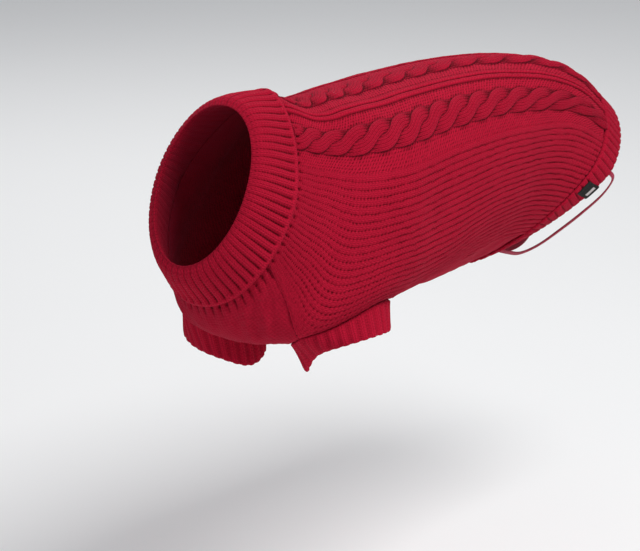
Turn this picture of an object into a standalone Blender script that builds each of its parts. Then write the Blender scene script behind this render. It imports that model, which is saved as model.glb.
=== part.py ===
"""Dog sweater: a cable-knit pullover for a medium dog, hollow, in the pose in which it is worn.

Frame: the head end points to -X, the tail to +X, the dog's left to -Y and up is +Z.  The origin lies on
the inside of the back, above the front legs, where the wearer carries the garment.
Sizes are in millimetres and become metres when the meshes are made.
"""

import math

import bmesh
import bpy
import numpy as np

MM = 0.001

# Driving sizes of the knit, in millimetres
WALL = 2.4                 # plain knit, from the inside to the bottom of the grooves
RIB_HEIGHT = 1.3           # flank ribs above the grooves
RIDGE_HEIGHT = 1.5         # twin ribs along the middle of the back
RIDGE_DIP = 0.2            # between them
CABLE_HEIGHT = 3.6         # top of a cable strand above the purl ground
SEAM_GAP = 0.3             # between two sewn pieces

# The knit pattern, measured across the back from the middle ridge where the knit is neither stretched nor
# drawn in
RIDGE_HALF = 7.2
CABLE_INNER = 21.5
CABLE_OUTER = 51.5
PURL_OUTER = 69.0
FLANK_RIBS = {1: 22, -1: 30}  # ribs from the purl ground to the side seam, on the left (1) and the right

# The cables are two strands that cross again and again, both cables with the same twist.  A strand's S runs
# along the left edge, over the other strand, along the right edge and under it, two pitches in all.
CABLE_PITCH = 19.2         # from one crossing to the next at the collar
PITCH_DOUBLES = 333.0      # distance along the back in which that pitch doubles
FIRST_CROSSING = 0.82      # in pitches from the collar seam
CROSSING_HALF = 0.60       # half the length of a crossing, in pitches
STRAND_REACH = 1.22        # how far a strand shows to each side of its crossing, in pitches
STRAND_HALF = 7.8          # half the width of a strand beside the other one
STRAND_SLIM = 0.12         # how much narrower it is where it crosses
STRAND_SWING = 7.2         # from the cable's middle to the strand's, along an edge
SCALLOP = 0.22             # how much of that it loses again at its ends
TUCK = 0.62                # how much of its height it loses one pitch from its crossing

# The body's sections from the collar seam to the rear edge.  A section is a plane through its top and
# bottom points.  widest_at is the share of its height, from the top, where it is half_width wide, and the
# powers make its upper and lower quarters rounder (2) or squarer (more).  turn is how far round to the
# left the pattern's middle lies, as the sweater sits on the wearer, and spread is how far the knit is
# stretched across the back.  seam_left and seam_right are the side seams' shares of the way from the top
# to the bottom.
SECTION_COLUMNS = ("station", "x_top", "z_top", "x_bottom", "z_bottom", "half_width", "widest_at",
                   "upper_power", "lower_power", "turn", "spread", "seam_left", "seam_right")
SECTIONS = (
    # collar seam
    (0.00, -42, 19, -137, -154, 69, 0.50, 1.5, 2.1, 20.5, 0.92, 0.68, 0.66),
    # front of the shoulder
    (0.12, -8, 2, -124, -182, 77, 0.53, 2.0, 2.2, 28, 0.89, 0.71, 0.70),
    # front of the legs
    (0.30, 28, 0, -76, -200, 97, 0.70, 2.5, 2.6, 34, 1.07, 0.80, 0.77),
    # back of the legs
    (0.42, 66, 1, -13, -193, 105, 0.69, 2.6, 2.5, 37, 1.15, 0.80, 0.76),
    # ribcage
    (0.58, 148, 3, 70, -194, 98, 0.60, 2.6, 2.2, 39.5, 1.05, 0.79, 0.70),
    # waist
    (0.74, 260, -1, 138, -201, 88, 0.51, 2.4, 1.9, 44, 0.93, 0.76, 0.64),
    # rump
    (0.88, 379, -24, 200, -203, 76, 0.44, 2.1, 1.8, 52.5, 0.72, 0.76, 0.65),
    # rear edge
    (1.00, 466, -78, 255, -201, 76, 0.41, 1.6, 1.5, 56, 0.55, 0.77, 0.68),
)
HEM_START = 0.957          # station where the rib bands begin
SEAM_REACH = 0.015         # how near a seam, in stations, points begin to turn into its plane
SLOPE_STEP = 0.004         # stations to each side, and millimetres round, between which slopes are taken
SLOPE_ARC = 1.0

# Leg holes: where the side seam opens, in stations along it and millimetres above and below it
HOLE_MIDDLE = 0.390
HOLE_HALF_LENGTH = 0.125
HOLE_ABOVE = 33.0
HOLE_BELOW = 30.0
HOLE_POWER = 0.8
HOLE_SHRINK = 0.987        # the cuff's upper edge lies a little inside the hole
RIB_CROWD = 0.25           # how much the ribs crowd toward the side seam at the collar
RIB_CROWD_END = 0.30       # station where they no longer do
RIB_GATHER = 2.2           # how quickly the ribs above a leg hole even out, away from its edge
RIB_BEND_REACH = 1.6       # how far the ribs bend before and behind a hole, in its half lengths
RIB_BEND_SHARE = 0.9       # how high they rise, as a share of the hole's depth
RIB_BEND_START = 12.0      # how close to its edge they follow the smoother curve

# Creases of the plain chest and belly: station and share of the way round of the middle, reach along and
# across in the same terms, slant, and depth in millimetres (a minus sign makes a ridge)
CREASE_COLUMNS = ("station", "round", "reach_along", "reach_round", "slant", "depth")
CREASES = (
    (0.13, 0.84, 0.100, 0.030, -0.50, 2.2),
    (0.17, 0.93, 0.110, 0.028, -0.42, 2.6),
    (0.20, -0.95, 0.105, 0.030, 0.45, 2.4),
    (0.12, -0.86, 0.090, 0.032, 0.52, 2.0),
    (0.52, 0.93, 0.080, 0.035, 0.30, 1.6),
    (0.56, -0.90, 0.090, 0.034, -0.28, 1.5),
)

# Collar: a doubled rib band from the body to the fold at the neck edge
NECK_TOP = (-96, 15)       # x and z of the neck edge
NECK_BOTTOM = (-158, -115)
NECK_HALF_WIDTH = 49
COLLAR_RIBS = 62
COLLAR_TURN = 0.12         # share of the collar over which its points leave the seam's plane
COLLAR_ROW_COLUMNS = ("along", "outer", "inner", "rib")
COLLAR_ROWS = (
    (0.00, 2.8, -2.4, 0.3),
    (0.06, 4.8, -2.4, 0.3),
    (0.13, 4.4, -2.2, 1.3),
    (0.45, 7.0, -1.2, 1.4),
    (0.80, 8.8, 0.2, 1.2),
    (0.97, 7.4, 1.0, 0.8),
    (1.04, 4.4, 2.0, 0.3),
)

# A cuff's lower edge is a tilted ring with a tip that hangs lower: x, y and z of its middle, the rise of its
# outer side for each millimetre across, the tip's place in degrees from the front toward the inner side, its
# reach in degrees and its drop, and how far the rear of the outer side is lifted
CUFF_RIBS = 27
CUFF_RADIUS = 37.0
CUFF_LIFT_AT = -120.0
CUFF_LIFT_REACH = 45.0
CUFF_COLUMNS = ("name", "side", "x", "y", "z", "rise", "tip_at", "tip_reach", "tip_drop", "lift")
CUFFS = (
    ("cuff_left", 1, -23.5, -76, -202.5, 0.42, 49.5, 30, 15, 0),
    ("cuff_right", -1, -23.5, 73, -231, 0.26, 83, 35, 6, 14),
)
CUFF_ROW_COLUMNS = ("down", "outer", "rib")
CUFF_ROWS = (
    (0.12, 0.7, 0.8),
    (0.60, 1.2, 1.2),
    (0.95, 0.9, 1.0),
    (1.00, 0.3, 0.3),
)

# Rib bands round the rear edge
HEM_RIB_PITCH = 9.5
HEM_RIB_HEIGHT = 1.5
HEM_MIDDLE = (HEM_START + 1.0) / 2
HEM_ROW_COLUMNS = ("station", "outer", "rib")
HEM_ROWS = (
    (HEM_START, 0.2, 0.4),
    (HEM_MIDDLE, 0.6, HEM_RIB_HEIGHT),
    (1.00, 0.2, 1.0),
)

# Woven label on the left of the rear band, folded over its edge
LABEL_LENGTH = 19.0
LABEL_THICKNESS = 0.8
LABEL_CLEARANCE = 0.9      # from the top of the band's ribs
LABEL_AT = 0.53            # share of the way round from the top
LABEL_PLACES = ((0.967, 0.0), (0.983, 0.0), (1.0, 0.0), (1.0, 2.5))  # station, and past the band's edge

# Elastic loops for the hind legs: x, distance from the middle and z of the strap's middle line
LOOP_WIDTH = 5.0
LOOP_THICKNESS = 1.4
LOOP_ROUTE = ((299, 13, -203), (327, 9, -211), (356, 10, -209), (382, 17, -198), (401, 31, -181),
              (409, 50, -160), (402, 67, -139))
LOOP_ON_BELLY = 0.92       # where the strap meets each band, as a share of the way round from the top
LOOP_ON_REAR = 0.42
LOOP_CLEARANCE = 0.8       # from the strap's sewn ends to the inside of the band
LOOP_SEWN = ((0.975, 0.0), (1.0, 1.0))  # stations of its sewn end, and the way past the band's edge

# How finely the solids follow these shapes
HOLE_STEPS = 10
PLAIN_STATIONS = (0.0, 0.04, 0.08, 0.12, 0.16, 0.20, 0.235)
REAR_STATIONS = (0.55, 0.60, 0.65, 0.71, 0.77, 0.82, 0.87, 0.915, HEM_START)
CABLE_ROWS = 5             # rows of points from one crossing to the next
CABLE_LINES = 9
INNER_LINES = 20
FRONT_LINES = 19
LABEL_LINES = 6
LOOP_STEPS = 3
SHARP_ANGLE = math.radians(25)


# ---------------------------------------------------------------------------------------------
# The body's surface
# ---------------------------------------------------------------------------------------------

ROWS = np.array(SECTIONS, float)
SLOPES = np.gradient(ROWS, ROWS[:, 0], axis=0)


def section(station):
    """Every column of SECTIONS at one station, on smooth curves through the rows."""
    row = min(max(int(np.searchsorted(ROWS[:, 0], station, side="right")) - 1, 0), len(ROWS) - 2)
    step = ROWS[row + 1, 0] - ROWS[row, 0]
    t = (station - ROWS[row, 0]) / step
    values = ((2 * t**3 - 3 * t**2 + 1) * ROWS[row] + (t**3 - 2 * t**2 + t) * step * SLOPES[row]
              + (-2 * t**3 + 3 * t**2) * ROWS[row + 1] + (t**3 - t**2) * step * SLOPES[row + 1])
    return dict(zip(SECTION_COLUMNS, values))


def half_ring(values, samples=361):
    """Half a section, from its top down the left side, and the distance along it at each point."""
    angle = np.linspace(0.0, math.pi, samples)
    upper = angle <= math.pi / 2
    power = 2.0 / np.where(upper, values["upper_power"], values["lower_power"])
    across = values["half_width"] * np.abs(np.sin(angle)) ** power
    reach = np.abs(np.cos(angle)) ** power
    wide = 1.0 - values["widest_at"]
    height = np.where(upper, wide + (1.0 - wide) * reach, wide * (1.0 - reach))
    x = values["x_bottom"] + (values["x_top"] - values["x_bottom"]) * height
    z = values["z_bottom"] + (values["z_top"] - values["z_bottom"]) * height
    points = np.stack([x, -across, z], axis=1)
    steps = np.linalg.norm(np.diff(points, axis=0), axis=1)
    return points, np.concatenate([[0.0], np.cumsum(steps)])


def on_ring(ring, arcs):
    """Points of a ring at distances from its top: plus is down the left, and past the bottom goes on."""
    points, lengths = ring
    whole = 2.0 * lengths[-1]
    arcs = (np.asarray(arcs, float) + whole / 2) % whole - whole / 2
    found = np.stack([np.interp(np.abs(arcs), lengths, points[:, k]) for k in range(3)], axis=-1)
    found[..., 1] *= np.where(arcs < 0, -1.0, 1.0)
    return found


def half_length(station):
    return half_ring(section(station))[1][-1]


def plane_normal(station):
    """The direction across a section's plane, toward the tail."""
    values = section(station)
    down = np.array([values["x_bottom"] - values["x_top"], 0.0, values["z_bottom"] - values["z_top"]])
    across = np.cross(down, (0.0, 1.0, 0.0))
    across /= np.linalg.norm(across)
    return across if across[0] > 0 else -across


def crease(station, arcs, length):
    """How far the creases push the cloth in at these places."""
    round_share = ((np.asarray(arcs) / length + 1.0) % 2.0) - 1.0
    depth = np.zeros_like(round_share)
    for middle, round_at, reach_along, reach_round, slant, deep in CREASES:
        along = (station - middle) / reach_along
        across = (round_share - round_at - slant * (station - middle)) / reach_round
        depth += deep * np.exp(-along**2 - across**2)
    return depth


def skin(station, arcs, height, shift=0.0):
    """Points this far out from the body's ground surface.

    On the planes of the three seams that run round the body the points stay in the plane, so that the
    pieces' edges face each other, and shift moves them across it.
    """
    arcs = np.asarray(arcs, float)
    ring = half_ring(section(station))
    before = half_ring(section(max(station - SLOPE_STEP, 0.0)))
    after = half_ring(section(min(station + SLOPE_STEP, 1.0)))
    base = on_ring(ring, arcs)
    along = on_ring(after, arcs) - on_ring(before, arcs)
    around = on_ring(ring, arcs + SLOPE_ARC) - on_ring(ring, arcs - SLOPE_ARC)
    out = np.cross(around, along)
    across = plane_normal(station)
    flat = max(max(0.0, 1.0 - abs(station - seam) / SEAM_REACH) for seam in (0.0, HEM_START, 1.0))
    out /= np.linalg.norm(out, axis=-1, keepdims=True)
    lean = (out @ across)[..., None]
    out = (out - flat * lean * across) / (1.0 - flat * lean**2)
    sunk = crease(station, arcs, ring[1][-1]) * (1.0 - flat)
    return base + out * (np.asarray(height) - sunk)[..., None] + across * shift


# ---------------------------------------------------------------------------------------------
# Seams and leg holes
# ---------------------------------------------------------------------------------------------

def hole_depth(station, depth):
    """How far a leg hole's edge lies from the side seam's line."""
    along = abs(station - HOLE_MIDDLE) / HOLE_HALF_LENGTH
    return depth * max(0.0, 1.0 - along**2) ** HOLE_POWER


def seam_arc(station, side):
    """Distance from the top to the side seam, on the left (side 1) or the right (side -1)."""
    values = section(station)
    return half_length(station) * values["seam_left" if side > 0 else "seam_right"]


def rib_bend(station, cut, up):
    """How far the flank's ribs are bent up over a leg hole, at shares of the way up from its edge."""
    along = min(1.0, abs(station - HOLE_MIDDLE) / (RIB_BEND_REACH * HOLE_HALF_LENGTH))
    bend = RIB_BEND_SHARE * HOLE_ABOVE * math.cos(along * math.pi / 2) ** 2
    at_edge = (1.0 - up) ** RIB_BEND_START
    return (at_edge * cut + (1.0 - at_edge) * bend) * (1.0 - up) ** RIB_GATHER


def rib_places(station, up):
    """Where the ribs lie on the way up from the side seam, at these shares of their number."""
    return up ** (1.0 + RIB_CROWD * max(0.0, 1.0 - station / RIB_CROWD_END))


def back_edges(station):
    """Arcs of the back panel's left and right edges."""
    cut = hole_depth(station, HOLE_ABOVE) + SEAM_GAP / 2
    return seam_arc(station, 1) - cut, -(seam_arc(station, -1) - cut)


def front_edges(station):
    """Arcs of the front panel's left and right edges, measured on round the bottom."""
    cut = hole_depth(station, HOLE_BELOW) + SEAM_GAP / 2
    return seam_arc(station, 1) + cut, 2 * half_length(station) - seam_arc(station, -1) - cut


def panel_stations():
    """Stations shared by both panels, closer together toward the ends of the leg holes."""
    hole = [HOLE_MIDDLE - HOLE_HALF_LENGTH * math.cos(math.pi * k / HOLE_STEPS)
            for k in range(HOLE_STEPS + 1)]
    return [*PLAIN_STATIONS, *hole, *REAR_STATIONS]


# ---------------------------------------------------------------------------------------------
# Knit relief
# ---------------------------------------------------------------------------------------------

def crossings(along):
    """How many pitches of the cables lie between the collar seam and a place this far along the back."""
    return PITCH_DOUBLES / CABLE_PITCH * math.log(1.0 + along / PITCH_DOUBLES)


def cable_height(along, across):
    """Height of a cable above the purl ground, this far along it and to the left of its middle."""
    place = crossings(along) - FIRST_CROSSING
    pitch = CABLE_PITCH * (1.0 + along / PITCH_DOUBLES)
    best = 0.0
    for strand in range(math.ceil(place - STRAND_REACH), math.floor(place + STRAND_REACH) + 1):
        way = place - strand
        angle = min(1.0, max(-1.0, way / CROSSING_HALF)) * math.pi / 2
        beyond = max(0.0, abs(way) - CROSSING_HALF) / (STRAND_REACH - CROSSING_HALF)
        path = -STRAND_SWING * math.sin(angle) * (1.0 - SCALLOP * beyond**2)
        slope = STRAND_SWING * math.pi / 2 * math.cos(angle) / (CROSSING_HALF * pitch)
        half = STRAND_HALF * (1.0 - STRAND_SLIM * math.cos(angle)) * math.hypot(1.0, slope)
        off = (across - path) / half
        if abs(off) < 1.0:
            best = max(best, CABLE_HEIGHT * (1.0 - TUCK * way**2) * math.sqrt(1.0 - off**2))
    return best


# ---------------------------------------------------------------------------------------------
# Mesh building
# ---------------------------------------------------------------------------------------------

class Cloth:
    """Collects the vertices and faces of one closed wall."""

    def __init__(self):
        self.points = []
        self.faces = []

    def add(self, points):
        """Add points, and return their indices in an array of the same layout."""
        points = np.asarray(points, float)
        start = len(self.points)
        self.points.extend(points.reshape(-1, 3))
        return np.arange(start, len(self.points)).reshape(points.shape[:-1])

    def grid(self, rows):
        """Faces between rows of indices that are equally long."""
        for first, second in zip(rows[:-1], rows[1:]):
            for k in range(len(first) - 1):
                self.faces.append((first[k], first[k + 1], second[k + 1], second[k]))

    def zip(self, first, second):
        """Triangles between two lines of indices whose lengths differ."""
        a, b = 0, 0
        at_first = self.shares(first)
        at_second = self.shares(second)
        while a < len(first) - 1 or b < len(second) - 1:
            step_first = at_first[a + 1] if a < len(first) - 1 else 9.0
            step_second = at_second[b + 1] if b < len(second) - 1 else 9.0
            if step_first <= step_second:
                self.faces.append((first[a], first[a + 1], second[b]))
                a += 1
            else:
                self.faces.append((first[a], second[b + 1], second[b]))
                b += 1

    def shares(self, line):
        """How far along a line each of its points lies, from 0 to 1."""
        points = np.array([self.points[k] for k in line])
        lengths = np.concatenate([[0.0], np.cumsum(np.linalg.norm(np.diff(points, axis=0), axis=1))])
        return lengths / lengths[-1]

    def build(self, name, material, collection):
        """Make the object, with its faces turned out."""
        mesh = bpy.data.meshes.new(name)
        mesh.from_pydata([tuple(p * MM) for p in self.points], [], [tuple(map(int, f)) for f in self.faces])
        body = bmesh.new()
        body.from_mesh(mesh)
        bmesh.ops.recalc_face_normals(body, faces=body.faces)
        if body.calc_volume(signed=True) < 0:
            bmesh.ops.reverse_faces(body, faces=body.faces)
        body.to_mesh(mesh)
        body.free()
        mesh.shade_smooth()
        mesh.set_sharp_from_angle(angle=SHARP_ANGLE)
        mesh.materials.append(material)
        piece = bpy.data.objects.new(name, mesh)
        collection.objects.link(piece)
        return piece


# ---------------------------------------------------------------------------------------------
# The pieces
# ---------------------------------------------------------------------------------------------

def shift_at(station):
    """The small move across a seam's plane that parts a panel from the collar or the rear bands."""
    if station == 0.0:
        return SEAM_GAP / 2
    return -SEAM_GAP / 2 if station == HEM_START else 0.0


def along_back(stations):
    """Distance along the middle ridge at each station."""
    tops = [on_ring(half_ring(section(s)), section(s)["turn"]) for s in stations]
    return np.concatenate([[0.0], np.cumsum(np.linalg.norm(np.diff(tops, axis=0), axis=1))])


def divided(stations):
    """The stations with more between them, in step with the cables' crossings."""
    index = [crossings(along) for along in along_back(stations)]
    finer = [stations[0]]
    for k in range(len(stations) - 1):
        count = max(1, round((index[k + 1] - index[k]) * CABLE_ROWS))
        finer += [stations[k] + (stations[k + 1] - stations[k]) * (i + 1) / count for i in range(count)]
    finer[-1] = stations[-1]
    return finer


def flank_block(cloth, stations, side):
    """One flank's ribs, from the side seam up to the purl ground beside the cable."""
    up = np.linspace(0.0, 1.0, 2 * FLANK_RIBS[side] + 1)
    heights = [RIB_HEIGHT if k % 2 else 0.0 for k in range(len(up))]
    rows = []
    for station in stations:
        cut = hole_depth(station, HOLE_ABOVE)
        low = back_edges(station)[0 if side > 0 else 1] + side * cut
        values = section(station)
        top = values["turn"] + side * values["spread"] * PURL_OUTER
        arcs = low + (top - low) * rib_places(station, up) - side * rib_bend(station, cut, up)
        rows.append(skin(station, arcs, heights, shift_at(station)))
    return cloth.add(rows)


def cable_block(cloth, stations, side):
    """One cable, from its outer edge to its inner edge."""
    offsets = side * np.linspace(CABLE_OUTER, CABLE_INNER, CABLE_LINES)
    middle = side * (CABLE_OUTER + CABLE_INNER) / 2
    rows = []
    for station, along in zip(stations, along_back(stations)):
        values = section(station)
        heights = [cable_height(along, offset - middle) for offset in offsets]
        rows.append(skin(station, values["turn"] + values["spread"] * offsets, heights, shift_at(station)))
    return cloth.add(rows)


def ridge_block(cloth, stations):
    """The twin ribs along the middle of the back."""
    offsets = np.linspace(RIDGE_HALF, -RIDGE_HALF, 5)
    heights = [0.0, RIDGE_HEIGHT, RIDGE_DIP, RIDGE_HEIGHT, 0.0]
    rows = []
    for station in stations:
        values = section(station)
        rows.append(skin(station, values["turn"] + values["spread"] * offsets, heights, shift_at(station)))
    return cloth.add(rows)


def close_wall(cloth, blocks, inner):
    """Join the outer blocks to each other and to the inner side, all round the panel's edges."""
    for block in blocks:
        cloth.grid(block)
    for first, second in zip(blocks[:-1], blocks[1:]):
        cloth.zip(first[:, -1], second[:, 0])
    cloth.grid(inner)
    for row in (0, -1):
        outer_line = np.concatenate([block[row] for block in blocks])
        cloth.zip(outer_line, inner[row])
    cloth.zip(blocks[0][:, 0], inner[:, 0])
    cloth.zip(blocks[-1][:, -1], inner[:, -1])


def back_panel(material, collection):
    cloth = Cloth()
    stations = panel_stations()
    finer = divided(stations)
    blocks = [flank_block(cloth, stations, 1),
              cable_block(cloth, finer, 1),
              ridge_block(cloth, stations),
              cable_block(cloth, finer, -1)[:, ::-1],
              flank_block(cloth, stations, -1)[:, ::-1]]
    inner = [skin(s, np.linspace(*back_edges(s), INNER_LINES), -WALL, shift_at(s)) for s in stations]
    close_wall(cloth, blocks, cloth.add(inner))
    return cloth.build("back_panel", material, collection)


def front_panel(material, collection):
    cloth = Cloth()
    outer, inner = [], []
    for station in panel_stations():
        arcs = np.linspace(*front_edges(station), FRONT_LINES)
        outer.append(skin(station, arcs, 0.0 * arcs, shift_at(station)))
        inner.append(skin(station, arcs, 0.0 * arcs - WALL, shift_at(station)))
    close_wall(cloth, [cloth.add(outer)], cloth.add(inner))
    return cloth.build("front_panel", material, collection)


def collar(material, collection):
    cloth = Cloth()
    seam = half_ring(section(0.0))
    neck = half_ring({"x_top": NECK_TOP[0], "z_top": NECK_TOP[1], "x_bottom": NECK_BOTTOM[0],
                      "z_bottom": NECK_BOTTOM[1], "half_width": NECK_HALF_WIDTH, "widest_at": 0.5,
                      "upper_power": 2.0, "lower_power": 2.0})
    across = plane_normal(0.0)

    def points(along, count, height):
        shares = np.arange(count) / count
        low = on_ring(seam, shares * 2 * seam[1][-1])
        high = on_ring(neck, shares * 2 * neck[1][-1])
        base = low + (high - low) * along
        out = np.cross(np.roll(base, -1, axis=0) - np.roll(base, 1, axis=0), low - high)
        out /= np.linalg.norm(out, axis=1, keepdims=True)
        flat = max(0.0, 1.0 - along / COLLAR_TURN)
        out -= flat * (out @ across)[:, None] * across
        out /= np.linalg.norm(out, axis=1, keepdims=True)
        return base + out * np.broadcast_to(height, count)[:, None] - across * SEAM_GAP / 2 * (along == 0)

    odd = np.arange(2 * COLLAR_RIBS) % 2
    outer = cloth.add([points(along, 2 * COLLAR_RIBS, high + rib * odd)
                       for along, high, _, rib in COLLAR_ROWS])
    inner = cloth.add([points(along, COLLAR_RIBS, low) for along, _, low, _ in COLLAR_ROWS[::2]])
    close_ring(cloth, outer, inner)
    return cloth.build("collar", material, collection)


def closed(rows):
    """Rows of indices that go all the way round and end where they began."""
    return np.concatenate([rows, rows[:, :1]], axis=1)


def close_ring(cloth, outer, inner):
    """Join the outer and inner sides of a band that goes all the way round."""
    outer, inner = closed(outer), closed(inner)
    cloth.grid(outer)
    cloth.grid(inner)
    cloth.zip(outer[0], inner[0])
    cloth.zip(outer[-1], inner[-1])


def hole_loop(side, height):
    """Points a little inside a leg hole's edge, from its back over the top to the front and round."""
    points = []
    steps = [(k, HOLE_ABOVE, -1) for k in range(HOLE_STEPS, -1, -1)]
    steps += [(k, HOLE_BELOW, 1) for k in range(1, HOLE_STEPS)]
    for k, depth, way in steps:
        along = -HOLE_HALF_LENGTH * math.cos(math.pi * k / HOLE_STEPS)
        station = HOLE_MIDDLE + along * HOLE_SHRINK
        arc = seam_arc(station, side) + way * HOLE_SHRINK * hole_depth(HOLE_MIDDLE + along, depth)
        points.append(skin(station, [side * arc], height)[0])
    return np.array(points)


def cuff_edge(angles, cuff):
    """A cuff's lower edge at angles round its middle."""
    edge = np.stack([np.cos(angles), np.sin(angles), 0 * angles], axis=1) * CUFF_RADIUS
    from_front = np.degrees(cuff["side"] * (math.pi - angles))
    from_tip = (from_front - cuff["tip_at"] + 180) % 360 - 180
    from_lift = (from_front - CUFF_LIFT_AT + 180) % 360 - 180
    edge[:, 2] = (-cuff["side"] * edge[:, 1] * cuff["rise"]
                  - cuff["tip_drop"] * np.exp(-(from_tip / cuff["tip_reach"]) ** 2)
                  + cuff["lift"] * np.exp(-(from_lift / CUFF_LIFT_REACH) ** 2))
    return edge + (cuff["x"], cuff["y"], cuff["z"])


def cuff_band(cuff, material, collection):
    cloth = Cloth()
    side = cuff["side"]
    loop = hole_loop(side, 0.0)
    back, front = loop[0], loop[HOLE_STEPS]
    start = math.atan2(back[1] - front[1], back[0] - front[0])
    centre = np.array([cuff["x"], cuff["y"], cuff["z"]])

    def points(down, count, height):
        shares = np.arange(count) / count
        around = np.concatenate([loop, loop[:1]])
        lengths = np.concatenate([[0.0], np.cumsum(np.linalg.norm(np.diff(around, axis=0), axis=1))])
        high = np.stack([np.interp(shares * lengths[-1], lengths, around[:, k]) for k in range(3)], axis=1)
        edge = cuff_edge(start - side * 2 * math.pi * shares, cuff)
        base = high + (edge - high) * down
        out = base - (high.mean(axis=0) + (centre - high.mean(axis=0)) * down)
        out[:, 2] = 0.0
        out /= np.linalg.norm(out, axis=1, keepdims=True)
        return base + out * np.broadcast_to(height, count)[:, None]

    odd = np.arange(2 * CUFF_RIBS) % 2
    outer = cloth.add([points(down, 2 * CUFF_RIBS, out + rib * odd) for down, out, rib in CUFF_ROWS])
    inner = cloth.add([points(down, CUFF_RIBS, -WALL) for down, _, _ in CUFF_ROWS])
    top_outer = closed(cloth.add([loop]))
    top_inner = closed(cloth.add([hole_loop(side, -WALL)]))
    cloth.grid(closed(outer))
    cloth.grid(closed(inner))
    cloth.zip(top_outer[0], closed(outer)[0])
    cloth.zip(top_inner[0], closed(inner)[0])
    cloth.grid(np.concatenate([top_outer, top_inner]))
    cloth.zip(closed(outer)[-1], closed(inner)[-1])
    return cloth.build(cuff["name"], material, collection)


def hem(name, edges, material, collection):
    """A rib band on the rear edge, between the side seams."""
    cloth = Cloth()
    first, last = edges(1.0)
    lines = 2 * round(abs(last - first) / HEM_RIB_PITCH) + 1
    odd = np.arange(lines) % 2
    outer, inner = [], []
    for station, base, rib in HEM_ROWS:
        shift = SEAM_GAP / 2 if station == HEM_START else 0.0
        outer.append(skin(station, np.linspace(*edges(station), lines), base + rib * odd, shift))
        inner.append(skin(station, np.linspace(*edges(station), lines), -WALL, shift))
    close_wall(cloth, [cloth.add(outer)], cloth.add(inner))
    return cloth.build(name, material, collection)


def label(material, collection):
    cloth = Cloth()
    over_ribs = HEM_RIB_HEIGHT + LABEL_CLEARANCE
    middle = LABEL_AT * half_length(1.0)
    arcs = middle + np.linspace(-0.5, 0.5, LABEL_LINES) * LABEL_LENGTH
    low = [skin(s, arcs, over_ribs + 0 * arcs, shift) for s, shift in LABEL_PLACES]
    high = [skin(s, arcs, over_ribs + LABEL_THICKNESS + 0 * arcs, shift) for s, shift in LABEL_PLACES]
    close_wall(cloth, [cloth.add(high)], cloth.add(low))
    return cloth.build("label", material, collection)


def leg_loop(name, side, material, collection):
    """An elastic strap, flat toward the leg, sewn to the inside of both rear bands."""
    cloth = Cloth()
    inside = -(WALL + LOOP_CLEARANCE + LOOP_THICKNESS / 2)
    length = half_length(1.0)
    on_belly = side * LOOP_ON_BELLY * length
    on_rear = side * LOOP_ON_REAR * length
    belly = [skin(s, [on_belly], inside, shift)[0] for s, shift in LOOP_SEWN]
    rear = [skin(s, [on_rear], inside, shift)[0] for s, shift in LOOP_SEWN[::-1]]
    free = [np.array([x, -side * y, z]) for x, y, z in LOOP_ROUTE]
    path = smooth_path(np.array(belly + free + rear), LOOP_STEPS)
    tangent = np.gradient(path, axis=0)
    tangent /= np.linalg.norm(tangent, axis=1, keepdims=True)
    faces_out = [np.diff(skin(LOOP_SEWN[0][0], [arc, arc], [0.0, 1.0]), axis=0)[0]
                 for arc in (on_belly, on_rear)]
    flat = np.linspace(*faces_out, len(path))
    flat -= (flat * tangent).sum(axis=1, keepdims=True) * tangent
    flat /= np.linalg.norm(flat, axis=1, keepdims=True)
    width = np.cross(tangent, flat)
    corners = ((-1, -1), (1, -1), (1, 1), (-1, 1))
    rows = cloth.add([[p + w * a * LOOP_WIDTH / 2 + f * b * LOOP_THICKNESS / 2 for a, b in corners]
                      for p, w, f in zip(path, width, flat)])
    cloth.grid(closed(rows))
    cloth.faces += [tuple(rows[0]), tuple(rows[-1])]
    return cloth.build(name, material, collection)


def smooth_path(points, between):
    """A Catmull-Rom curve through the points, with this many steps from one to the next."""
    ends = np.concatenate([[2 * points[0] - points[1]], points, [2 * points[-1] - points[-2]]])
    path = []
    for a, b, c, d in zip(ends[:-3], ends[1:-2], ends[2:-1], ends[3:]):
        for t in np.arange(between) / between:
            path.append(0.5 * (2 * b + (c - a) * t + (2 * a - 5 * b + 4 * c - d) * t**2
                               + (3 * b - a - 3 * c + d) * t**3))
    return np.array([*path, points[-1]])


# ---------------------------------------------------------------------------------------------
# Scene
# ---------------------------------------------------------------------------------------------

def surface(name, colour, roughness):
    """A Principled material with a plain colour."""
    material = bpy.data.materials.new(name)
    material.use_nodes = True
    shader = material.node_tree.nodes["Principled BSDF"]
    shader.inputs["Base Color"].default_value = (*colour, 1.0)
    shader.inputs["Roughness"].default_value = roughness
    shader.inputs["Metallic"].default_value = 0.0
    material.diffuse_color = (*colour, 1.0)
    return material


CRIMSON = (0.46, 0.012, 0.045)
BLACK = (0.02, 0.02, 0.02)


def main():
    for thing in list(bpy.data.objects):
        bpy.data.objects.remove(thing, do_unlink=True)
    garment = bpy.data.collections.new("dog_sweater")
    bpy.context.scene.collection.children.link(garment)
    back_panel(surface("back_knit", CRIMSON, 0.9), garment)
    front_panel(surface("front_knit", CRIMSON, 0.9), garment)
    collar(surface("collar_rib", CRIMSON, 0.9), garment)
    for row in CUFFS:
        cuff_band(dict(zip(CUFF_COLUMNS, row)), surface(row[0] + "_rib", CRIMSON, 0.9), garment)
    hem("hem_back", back_edges, surface("hem_back_rib", CRIMSON, 0.9), garment)
    hem("hem_belly", front_edges, surface("hem_belly_rib", CRIMSON, 0.9), garment)
    label(surface("label_weave", BLACK, 0.6), garment)
    leg_loop("leg_loop_left", 1, surface("leg_loop_left_elastic", CRIMSON, 0.8), garment)
    leg_loop("leg_loop_right", -1, surface("leg_loop_right_elastic", CRIMSON, 0.8), garment)


if __name__ == "__main__":
    main()
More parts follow.
